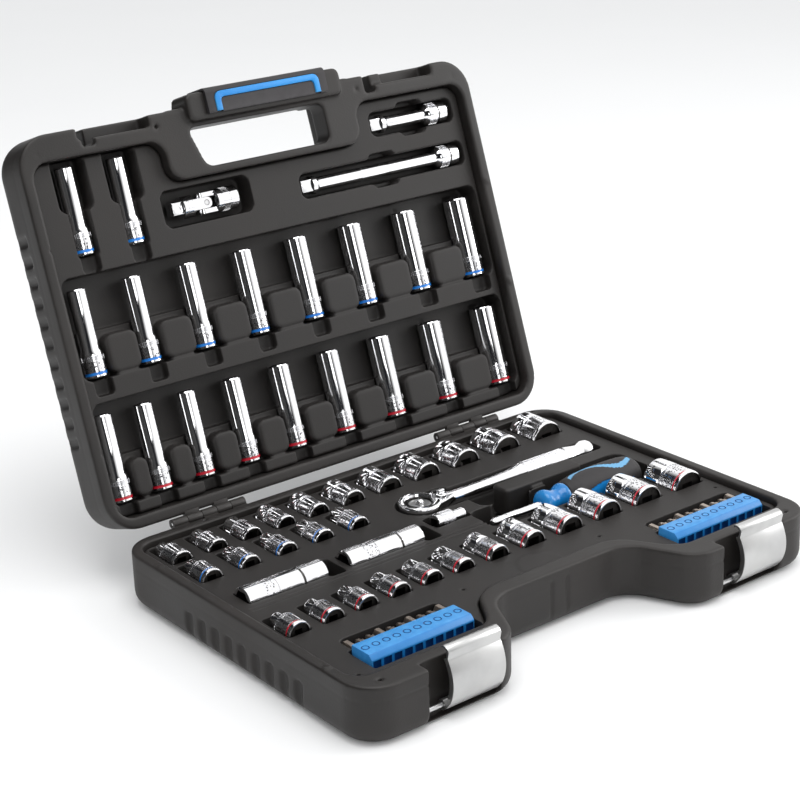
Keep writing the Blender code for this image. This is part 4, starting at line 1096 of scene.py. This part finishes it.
def makeRatchet():
    x, y, z = ratchetSet["x"], ratchetSet["y"], ratchetSet["z"]
    profile = [
        (14, 5.6), (15, 6.4), (33, 5.0), (60, 4.9), (83, 5.4), (92, 6.6), (95, 7.6), (97, 7.8), (98, 7.8),
        (98.2, 7.3), (99.4, 7.3), (99.6, 7.8), (139, 7.8), (139.2, 7.3), (140.4, 7.3), (140.6, 7.8),
        (143, 7.8), (149, 7.0), (154, 6.2), (157, 6.9), (159.5, 8.0), (163.4, 8.0), (165.6, 7.0),
        (167, 4.6),
    ]
    grip = lathe("ratchetGrip", profile, 72)
    knurl(grip, 99.6, 139, 0.28)
    moveTo(grip, lay("+X", 0, y, z))
    head = rod("ratchetHead", x, y, z, 15.5, 13, "Z", 72)
    bevelWhere(head, lambda a, b: abs(a.z - b.z) < 0.01, 1.8, 4)
    neck = block("neck", 12, 31, y - 12.4, y + 12.4, z - 5.6, z + 5.6)
    pickFaces(neck, lambda centre, normal: normal.x > 0.9)
    bpy.ops.transform.resize(value=(1, 0.38, 0.82))
    bpy.ops.object.mode_set(mode="OBJECT")
    bevelWhere(neck, lambda a, b: abs(a.x - b.x) > 5, 2.2, 4)
    fuse(head, neck, grip)
    bore = rod("bore", x, y, z, 8.7, 30, "Z", 60)
    lip = rod("lip", x, y, z + 6.3, 11.4, 1.6, "Z", 60)
    ring = rod("ring", x, y, z - 6.3, 11.0, 1.2, "Z", 60)
    seat = rod("seat", x + 17.5, y, z + 8.4, 6.2, 7.4, "Z", 40)
    pickFaces(seat, lambda centre, normal: True)
    bpy.ops.mesh.select_all(action="SELECT")
    bpy.ops.transform.resize(value=(1, 1.25, 1), center_override=((x + 17.5) * mm, y * mm, z * mm))
    bpy.ops.object.mode_set(mode="OBJECT")
    carve(head, bore, lip, ring, seat)
    # the inside of the head's bore gets dark steel as painted shade
    for face in head.data.polygons:
        centre = face.center / mm
        inside = math.hypot(centre.x - x, centre.y - y) < 9.0 and abs(face.normal.z) < 0.5
        gripZone = 99.7 < centre.x < 138.9
        face.material_index = 2 if inside else (1 if gripZone else 0)
    dress(smooth(head, 32), chromePlate, knurlPlate, paintedShadeSteel)
    head.name = "ratchetBody"
    show(head, "ratchet", "chrome", "ratchet_body")

    gear = rod("ratchetGear", x, y, z - 0.6, 8.2, 10.4, "Z", 72)
    bevelWhere(gear, level(z + 4.6), 0.7, 2)

    def everySecond(centre, normal):
        turn = math.atan2(centre.y - y, centre.x - x) / math.tau % 1
        return abs(normal.z) < 0.3 and int(turn * 72) % 2 == 0

    pickFaces(gear, everySecond)
    bpy.ops.mesh.inset(thickness=0.06 * mm, depth=-0.35 * mm, use_individual=True)
    bpy.ops.object.mode_set(mode="OBJECT")
    stub = block("driveStub", x - 4.7, x + 4.7, y - 4.7, y + 4.7, z - 17, z - 4)
    bevelWhere(stub, upright, 0.8, 3)
    bevelWhere(stub, level(z - 17), 0.9, 3)
    fuse(gear, stub, rod("detentBall", x - 4.5, y, z - 12, 1.6, 1.2, "X", 20))
    well = rod("buttonWell", x, y, z + 4, 3.4, 9, "Z", 36)
    carve(gear, well, rod("plateGroove", x, y, z + 5.0, 6.6, 1.4, "Z", 48))
    dress(smooth(gear, 32), satinSteel)
    show(gear, "ratchet_gear", "satin_steel", "ratchet_drive")
    profile = [(0, 2.7), (0.3, 2.9), (4.2, 2.9), (5.3, 2.4), (5.9, 1.4), (6.1, 0.5)]
    button = lathe("ratchetButton", profile, 40)
    moveTo(button, lay("+Z", x, y, z + 1.5))
    dress(smooth(button, 50), chromePlate)
    show(button, "ratchet_gear", "chrome", "ratchet_button")

    lever = rod("ratchetLever", x + 17.5, y, z + 6.4, 5.1, 2.8, "Z", 48)
    pickFaces(lever, lambda centre, normal: True)
    bpy.ops.mesh.select_all(action="SELECT")
    bpy.ops.transform.resize(value=(1, 1.22, 1), center_override=((x + 17.5) * mm, y * mm, z * mm))
    bpy.ops.object.mode_set(mode="OBJECT")
    bevelWhere(lever, level(z + 7.8), 0.8, 3)
    thumb = softBlock("thumb", x + 16.2, x + 22.0, y - 1.6, y + 1.6, z + 7, z + 9.6, 1.2, 0.8)
    fuse(lever, thumb)
    dress(smooth(lever, 32), chromePlate)
    show(lever, "reversing_lever", "chrome", "ratchet_lever")


driverSet = {"y": 5.0, "z": 33.0}


def finer(profile, step):
    # adds rings so that no two are further apart than the step
    points = [profile[0]]
    for (a, ra), (b, rb) in zip(profile, profile[1:]):
        count = max(1, math.ceil((b - a) / step))
        points += [(a + (b - a) * k / count, ra + (rb - ra) * k / count) for k in range(1, count + 1)]
    return points


def makeDriver():
    y, z = driverSet["y"], driverSet["z"]
    shaft = lathe("driverShaft", [
        (24, 1.9), (24.4, 2.4), (26, 3.1), (36, 3.2), (36.2, 2.8), (37.4, 2.8), (37.6, 3.2), (48, 3.2),
        (48.2, 3.0), (68.6, 3.0), (69.2, 3.2),
    ], 48)
    moveTo(shaft, lay("+X", 0, y, z))
    dress(smooth(shaft, 32), chromePlate)
    show(shaft, "driver", "chrome", "driver_shaft")
    collar = lathe("driverCollar", [
        (69, 4.6), (69.4, 6.4), (70.4, 8.2), (72, 9.5), (74, 10.0), (76, 9.7), (78.4, 8.7), (81, 7.7),
        (83, 7.5), (85, 8.0), (87, 9.3), (89, 10.2), (90.6, 10.4), (91.6, 10.2),
    ], 64)
    moveTo(collar, lay("+X", 0, y, z))
    dress(smooth(collar, 60), collarBlue)
    show(collar, "driver", "blue_plastic", "driver_collar")
    profile = [
        (92, 9.8), (92.6, 10.6), (97, 11.8), (102, 12.6), (110, 13.2), (118, 13.7), (127, 14.0),
        (140, 13.9), (149, 13.6), (154, 12.9), (158, 11.4), (161, 9.2), (162.4, 7.4), (163, 5.6),
    ]
    grip = lathe("driverHandle", finer(profile, 0.9), 120)
    for face in grip.data.polygons:
        centre = face.center / mm
        along = (centre.z - 97) / 60
        turn = math.degrees(math.atan2(centre.y, -centre.x))
        wave = 26 * math.sin(along * math.tau)
        index = 0
        if 0.02 < along < 0.97 and abs(turn - wave) < 9:
            index = 1
        if 0.08 < along < 0.86 and abs(turn + 78) < 20 * math.sin(math.pi * (along - 0.08) / 0.78) + 2:
            index = 2
        face.material_index = index
    pickFaces(grip, lambda centre, normal: False)
    bpy.ops.object.mode_set(mode="OBJECT")
    for face in grip.data.polygons:
        face.select = face.material_index > 0
    bpy.ops.object.mode_set(mode="EDIT")
    bpy.ops.mesh.inset(thickness=0.25 * mm, depth=-0.3 * mm, use_individual=False)
    bpy.ops.object.mode_set(mode="OBJECT")
    moveTo(grip, lay("+X", 0, y, z))
    dress(smooth(grip, 60), gripRubber, paleBlue, collarBlue)
    show(grip, "driver", "black_rubber", "driver_handle")


# bars and joint in the lid
def makeExtensions():
    for name, x0, x1, y in (("short", 99.5, 176.5, 240.0), ("long", 25.5, 178.5, 206.0)):
        length = x1 - x0 - 4
        profile = [
            (9.6, 6.2), (10, 6.8), (13.6, 6.8), (15, 5.9), (16, 5.2), (length - 30, 5.2),
            (length - 27, 5.3), (length - 21, 5.3), (length - 18.5, 7.8), (length - 17, 8.4),
            (length - 9.0, 8.4), (length - 8.9, 8.0), (length - 7.9, 8.0), (length - 7.8, 8.4),
            (length - 0.7, 8.4), (length, 7.8),
        ]
        bar = lathe("extension" + name.capitalize(), profile, 72)
        stub = block("stub", -4.65, 4.65, -4.65, 4.65, 0, 12)
        bevelWhere(stub, upright, 0.7, 3)
        bevelWhere(stub, level(0), 1.0, 3)
        knurl(bar, length - 17, length - 9, 0.25)
        fuse(bar, stub)
        carve(bar, squareHole(length - 11, length + 1, 9.6), rod("detentHole", 0, -5.6, 6, 1.9, 3, "Y", 20))
        ball = lathe("ball", [(0, 1.5), (0.5, 1.2), (0.8, 0.5)], 20)
        facing = Matrix.Rotation(math.radians(90), 4, "X")
        moveTo(ball, Matrix.Translation(Vector((0, -4.3, 6)) * mm) @ facing)
        whole = gather(bar.name, [bar, ball])
        # the narrow groove and the bore get dark steel as painted shade
        zones = ((length - 17, length - 9, 2), (length - 8.9, length - 7.9, 4))
        paintSocket(whole, length, 4.9, zones)
        for face in whole.data.polygons:
            if face.center.z / mm < 9.5:
                face.material_index = 0
        dress(smooth(whole, 32), chromePlate, etchedPlate, knurlPlate, redBand, paintedShadeSteel)
        moveTo(whole, lidPlace @ lay("+X", (x0 + x1) / 2 - length / 2, y, -16.6))
        show(whole, "lift_extension_" + name, "chrome", "extension_" + name)


def roundedEar(name, x0, x1, y0, y1, z0, z1, axis):
    # flat ear whose far end is rounded, in the joint's own place
    ear = block(name, x0, x1, y0, y1, z0, z1)
    far = x1 if axis.endswith("+") else x0
    thin = "z" if axis.startswith("z") else "y"
    wide = {"z": "y", "y": "z"}[thin]

    def corner(a, b):
        along = getattr(a, thin) - getattr(b, thin)
        across = getattr(a, wide) - getattr(b, wide)
        atEnd = abs(a.x - far) < 0.01 and abs(b.x - far) < 0.01
        return atEnd and abs(along) > 1 and abs(across) < 0.01

    return bevelWhere(ear, corner, 3.6, 6)


def makeJoint():
    x, y, z = -55.75, 210.0, -16.6
    drive = lathe("jointDriveEnd", [
        (8.2, 6.6), (8.8, 8.0), (11, 8.0), (11.2, 7.5), (12.2, 7.5), (12.4, 8.0), (17.4, 8.0), (18.5, 6.8),
    ], 72)
    moveTo(drive, lay("+X", -83, y, z))
    stub = block("stub", -83, -73, y - 4.65, y + 4.65, z - 4.65, z + 4.65)
    bevelWhere(stub, lambda a, b: abs(a.x - b.x) > 5, 0.7, 3)
    bevelWhere(stub, lambda a, b: abs(a.x + 83) < 0.01 and abs(b.x + 83) < 0.01, 0.9, 3)
    fuse(drive, stub)
    for sign in (-1, 1):
        low, high = sorted((sign * 4.2, sign * 7.4))
        fuse(drive, roundedEar("ear", -67, x + 4.2, y - 3.9, y + 3.9, z + low, z + high, "z+"))
    carve(drive, rod("pinHole", x, y, z, 2.1, 20, "Z", 24), rod("detent", -78, y, z + 4.6, 1.7, 0.8, "Z", 20))
    socket = lathe("jointSocketEnd", [
        (9.0, 7.0), (9.6, 8.5), (13, 8.5), (13.2, 8.1), (14.2, 8.1), (14.4, 8.5), (20, 8.5), (20.2, 8.1),
        (21.2, 8.1), (21.4, 8.5), (26.6, 8.5), (27.25, 7.9),
    ], 72)
    knurl(socket, 14.4, 20, 0.22)
    carve(socket, squareHole(16.4, 28, 9.6))
    moveTo(socket, lay("+X", x, y, z))
    for sign in (-1, 1):
        low, high = sorted((sign * 4.2, sign * 7.4))
        fuse(socket, roundedEar("ear", x - 4.2, x + 12, y + low, y + high, z - 3.9, z + 3.9, "y-"))
    carve(socket, rod("pinHole", x, y, z, 2.1, 20, "Y", 24))
    cross = block("jointSpider", x - 3.4, x + 3.4, y - 3.4, y + 3.4, z - 3.4, z + 3.4)
    bevelWhere(cross, lambda a, b: True, 0.6, 2)
    fuse(cross, rod("pinA", x, y, z, 1.7, 14.4, "Z", 24), rod("pinB", x, y, z, 1.7, 14.4, "Y", 24))
    for obj, body, slot, node, material in (
        (drive, "joint_drive", "chrome", "joint_drive_end", chromePlate),
        (socket, "joint_socket", "chrome", "joint_socket_end", chromePlate),
        (cross, "joint_cross", "satin_steel", "joint_spider", satinSteel),
    ):
        dress(smooth(obj, 32), material)
        moveTo(obj, lidPlace)
        show(obj, body, slot, node)


# bit holders
railSet = {
    "left": (-163, -83, -102, -82),
    "right": (94, 178, -104, -86),
    "z": (28, 40),
    "bits": 10,
    "pointed": ((0, 3.2), (9.5, 3.2), (9.9, 3.0), (10.0, 2.2), (12.6, 2.1), (14.3, 1.3), (15, 0.7)),
    "plain": ((0, 3.2), (14.4, 3.2), (15, 2.6)),
}


def makeRail(side):
    x0, x1, y0, y1 = railSet[side]
    low, high = railSet["z"]
    pitch = (x1 - x0) / railSet["bits"]
    rail = block("bitRail" + side.capitalize(), x0, x1, y0, y1, low, high)

    def frontEdge(a, b):
        return max(abs(a.y - y0), abs(b.y - y0)) < 0.01 and abs(a.z - high) + abs(b.z - high) < 0.01

    bevelWhere(rail, frontEdge, 3, 1)
    bevelWhere(rail, lambda a, b: min(a.z, b.z) > high - 3.1 or upright(a, b), 0.5, 2)
    cutters = []
    places = [x0 + pitch * (i + 0.5) for i in range(railSet["bits"])]
    for x in places:
        half = pitch / 2 - 1.0
        cutters.append(softBlock("slot", x - half, x + half, y0 - 2, y0 + 1.7, low + 1.4, high - 4.0, 0.8))
        deselect()
        bpy.ops.mesh.primitive_torus_add(
            major_radius=2.3 * mm, minor_radius=0.42 * mm, major_segments=28, minor_segments=8,
            location=(x * mm, ((y0 + y1) / 2 + 1.5) * mm, high * mm),
        )
        cutters.append(settle("ringMark"))
    carve(rail, *cutters)
    # slots and ring grooves take the darker blue as painted shade
    for face in rail.data.polygons:
        centre = face.center / mm
        inSlot = y0 + 0.4 < centre.y < y0 + 1.8 and centre.z < high - 3.9 and x0 + 0.5 < centre.x < x1 - 0.5
        inRing = high - 0.6 < centre.z < high - 0.02 and any(
            math.hypot(centre.x - x, centre.y - (y0 + y1) / 2 - 1.5) < 2.9 for x in places
        )
        face.material_index = 1 if inSlot or inRing else 0
    dress(smooth(rail, 30), railBlue, slotShadeBlue)
    show(rail, "bit_holder_" + side, "blue_plastic", "bit_rail_" + side)
    bits = []
    for i, x in enumerate(places):
        bit = lathe("bit", railSet["pointed"] if i % 3 else railSet["plain"], 6)
        moveTo(bit, Matrix.Rotation(math.radians(30), 4, "Z"))
        moveTo(bit, lay("+Y", x, y1 - 3, 34))
        bits.append(bit)
    bits = gather("bits" + side.capitalize(), bits)

    def longEdge(a, b):
        return abs(a.x - b.x) < 0.01 and abs(a.z - b.z) < 0.01 and abs(a.y - b.y) > 8

    bevelWhere(bits, longEdge, 0.25, 1)
    dress(smooth(bits, 30), bitSteel)
    show(bits, "bit_holder_" + side, "chrome")


# latches
latchSet = {
    "width": 41,
    "pin": (-130.5, 9.0),
    "sheet": 1.6,
    "pocket": (-34.0, 22.5),
}


def ribbon(name, points, x, width, thickness, shift=0.0):
    # a strip whose long line runs through (y, z) points, with its width along X
    curve = bpy.data.curves.new(name, "CURVE")
    curve.dimensions = "2D"
    line = curve.splines.new("POLY")
    line.points.add(len(points) - 1)
    for point, (y, z) in zip(line.points, points):
        point.co = (y * mm, z * mm, 0, 1)
    curve.extrude = width / 2 * mm
    obj = bpy.data.objects.new(name, curve)
    bpy.context.scene.collection.objects.link(obj)
    take(obj)
    bpy.ops.object.convert(target="MESH")
    obj = bpy.context.object
    obj.data.transform(Matrix(((0, 0, 1, x * mm), (1, 0, 0, 0), (0, 1, 0, 0), (0, 0, 0, 1))))
    modify(obj, "SOLIDIFY", thickness=thickness * mm, offset=shift)
    take(obj)
    bpy.ops.object.mode_set(mode="EDIT")
    bpy.ops.mesh.select_all(action="SELECT")
    bpy.ops.mesh.normals_make_consistent(inside=False)
    bpy.ops.object.mode_set(mode="OBJECT")
    return obj


def latchLine():
    y, z = latchSet["pin"]
    face = [(-141.5 + 6.5 * ((k - 3.2) / 3.2) ** 2, 8.0 + 5.6 * k) for k in [1 + 0.25 * i for i in range(21)]]
    hook = [(-137.6, 46.4), (-136.6, 47.8), (-135.2, 48.6), (-133.8, 48.9), (-132.6, 48.7), (-131.9, 48.2)]
    return [(y - 2.4, z - 1.6), (y - 3.9, z - 0.4)] + face + hook


def makeLatch(side, x):
    y, z = latchSet["pin"]
    half = latchSet["width"] / 2
    line = latchLine()
    plate = ribbon("latch" + side.capitalize(), line, x, latchSet["width"], latchSet["sheet"])
    lips = []
    for sign in (-1, 1):
        inner = [(py + 1.5, pz) for py, pz in line[3:-6]]
        lips.append(ribbon("lip", inner, x + sign * (half - 0.8), 1.6, 3.0))
    knuckle = rod("knuckle", x, y, z, 3.5, latchSet["width"] - 0.4, "X", 40)
    fuse(plate, knuckle, *lips)
    carve(plate, rod("latchBore", x, y, z, 2.0, 60, "X", 32))

    def sideEdge(a, b):
        return abs(a.x - b.x) < 0.01 and abs(abs(a.x - x) - half) < 0.01 and min(a.y, b.y) < -134

    bevelWhere(plate, sideEdge, 0.5, 2)
    dress(smooth(plate, 30), latchSteel)
    show(plate, "latch_" + side, "satin_steel", "latch_" + side)
    left, right = x + latchSet["pocket"][0], x + latchSet["pocket"][1]
    pin = rod("latchPin" + side.capitalize(), (left + right) / 2, y, z, 1.5, right - left + 4, "X", 28)
    bevelWhere(pin, lambda a, b: abs(a.x - b.x) < 0.01, 0.4, 2)
    dress(smooth(pin, 32), satinSteel)
    show(pin, "base", "satin_steel", "latch_pin_" + side)


# handle and hinges
def makeHandle():
    grip = block("handleGrip", -46, 58, 267, 288, -20, 7)
    bevelWhere(grip, lambda a, b: abs(a.x - b.x) > 5, 4, 6)
    bevelWhere(grip, lambda a, b: abs(a.x - b.x) < 0.01 and min(a.y, b.y) > 267.1, 1.6, 4)
    carve(grip, block("hollow", -60, 70, 255, 286.4, -18.4, 4.4), block("slot", -60, 70, 255, 269.5, -25, 12))
    seat = softBlock("seat", -39.4, 51.4, 262, 284.4, 5.2, 12, 5)
    island = softBlock("island", -34.2, 46.2, 250, 279.2, 4, 13, 3)
    carve(seat, island)
    carve(grip, seat)
    moveTo(grip, lidPlace)
    dress(smooth(grip, 35), gripRubber)
    show(grip, "lid", "black_rubber", "handle_grip")
    trim = softBlock("handleTrim", -39, 51, 262, 284, 5.7, 8.0, 5)
    hole = softBlock("hole", -34.6, 46.6, 250, 279.6, 4, 13, 3)
    carve(trim, hole, block("cutEnds", -60, 70, 255, 270.4, 3, 12))
    bevelWhere(trim, level(8.0), 0.5, 2)
    moveTo(trim, lidPlace)
    dress(smooth(trim, 35), trimBlue)
    show(trim, "lid", "blue_plastic", "handle_trim")


hingeSet = {
    "centres": (-120.0, 116.0),
    "span": 60.0,
    "count": 5,
    "radius": 3.5,
    "gap": 0.5,
    "y": 139.0,
    "z": 40.0,
}


def makeHinges():
    s = hingeSet
    pitch = s["span"] / s["count"]
    for first, name in ((0, "baseKnuckles"), (1, "lidKnuckles")):
        parts = []
        for centre in s["centres"]:
            for i in range(first, s["count"], 2):
                x = centre - s["span"] / 2 + pitch * (i + 0.5)
                half = (pitch - s["gap"]) / 2
                barrel = rod("barrel", x, 0, 0, s["radius"], 2 * half, "X", 40)
                near = 0 if first else -6
                fuse(barrel, block("web", x - half, x + half, near, near + 6, -3.4, -0.2))

                def endEdge(a, b):
                    return abs(a.x - b.x) < 0.01 and abs(abs(a.x - x) - half) < 0.01

                bevelWhere(barrel, endEdge, 0.35, 2)
                carve(barrel, rod("bore", x, 0, 0, 1.5, 20, "X", 24))
                parts.append(smooth(barrel, 32))
        whole = gather(name, parts)
        moveTo(whole, lidPlace if first else Matrix.Translation(Vector((0, s["y"], s["z"])) * mm))
        dress(whole, casePlastic)
        show(whole, "lid" if first else "base", "case_plastic")
    for side, centre in zip(("left", "right"), s["centres"]):
        pin = rod("hingePin" + side.capitalize(), centre, s["y"], s["z"], 1.2, s["span"] - 1, "X", 28)
        bevelWhere(pin, lambda a, b: abs(a.x - b.x) < 0.01, 0.3, 2)
        dress(smooth(pin, 32), satinSteel)
        show(pin, "base", "satin_steel", "hinge_pin_" + side)


# the bands, the trims and the latches' steel
# the third colour of each plastic is a painted highlight on its sharp edges
darkBand = plastic(
    "darkBand", (0.012, 0.012, 0.014), (0.02, 0.02, 0.024), (0.06, 0.06, 0.07), rough=(0.25, 0.35)
)
collarBlue = plastic(
    "collarBlue", (0.006, 0.16, 0.46), (0.009, 0.2, 0.54), (0.06, 0.36, 0.7),
    rough=(0.2, 0.3), grain=2600.0, bump=0.12, coat=0.4,
)
trimBlue = plastic(
    "trimBlue", (0.008, 0.18, 0.52), (0.012, 0.23, 0.6), (0.1, 0.42, 0.75), rough=(0.32, 0.45), grain=2600.0
)
latchSteel = metal(
    "latchSteel", (0.54, 0.54, 0.535), (0.45, 0.45, 0.45),
    rough=(0.3, 0.42), stretch=(6, 6, 0.1), bump=0.25, cloud=30.0,
)

makeSockets()
makeLongSockets()
print("sockets turned")
makeRatchet()
makeDriver()
print("ratchet and driver made")
makeExtensions()
makeJoint()
print("bars and joint made")
for side in ("left", "right"):
    makeRail(side)
for side, x in zip(("left", "right"), caseSet["latches"]):
    makeLatch(side, x)
makeHandle()
makeHinges()
print("rails, latches, handle and hinges made")


# deselect every object at the end
for leftover in list(bpy.data.objects):
    leftover.select_set(False)
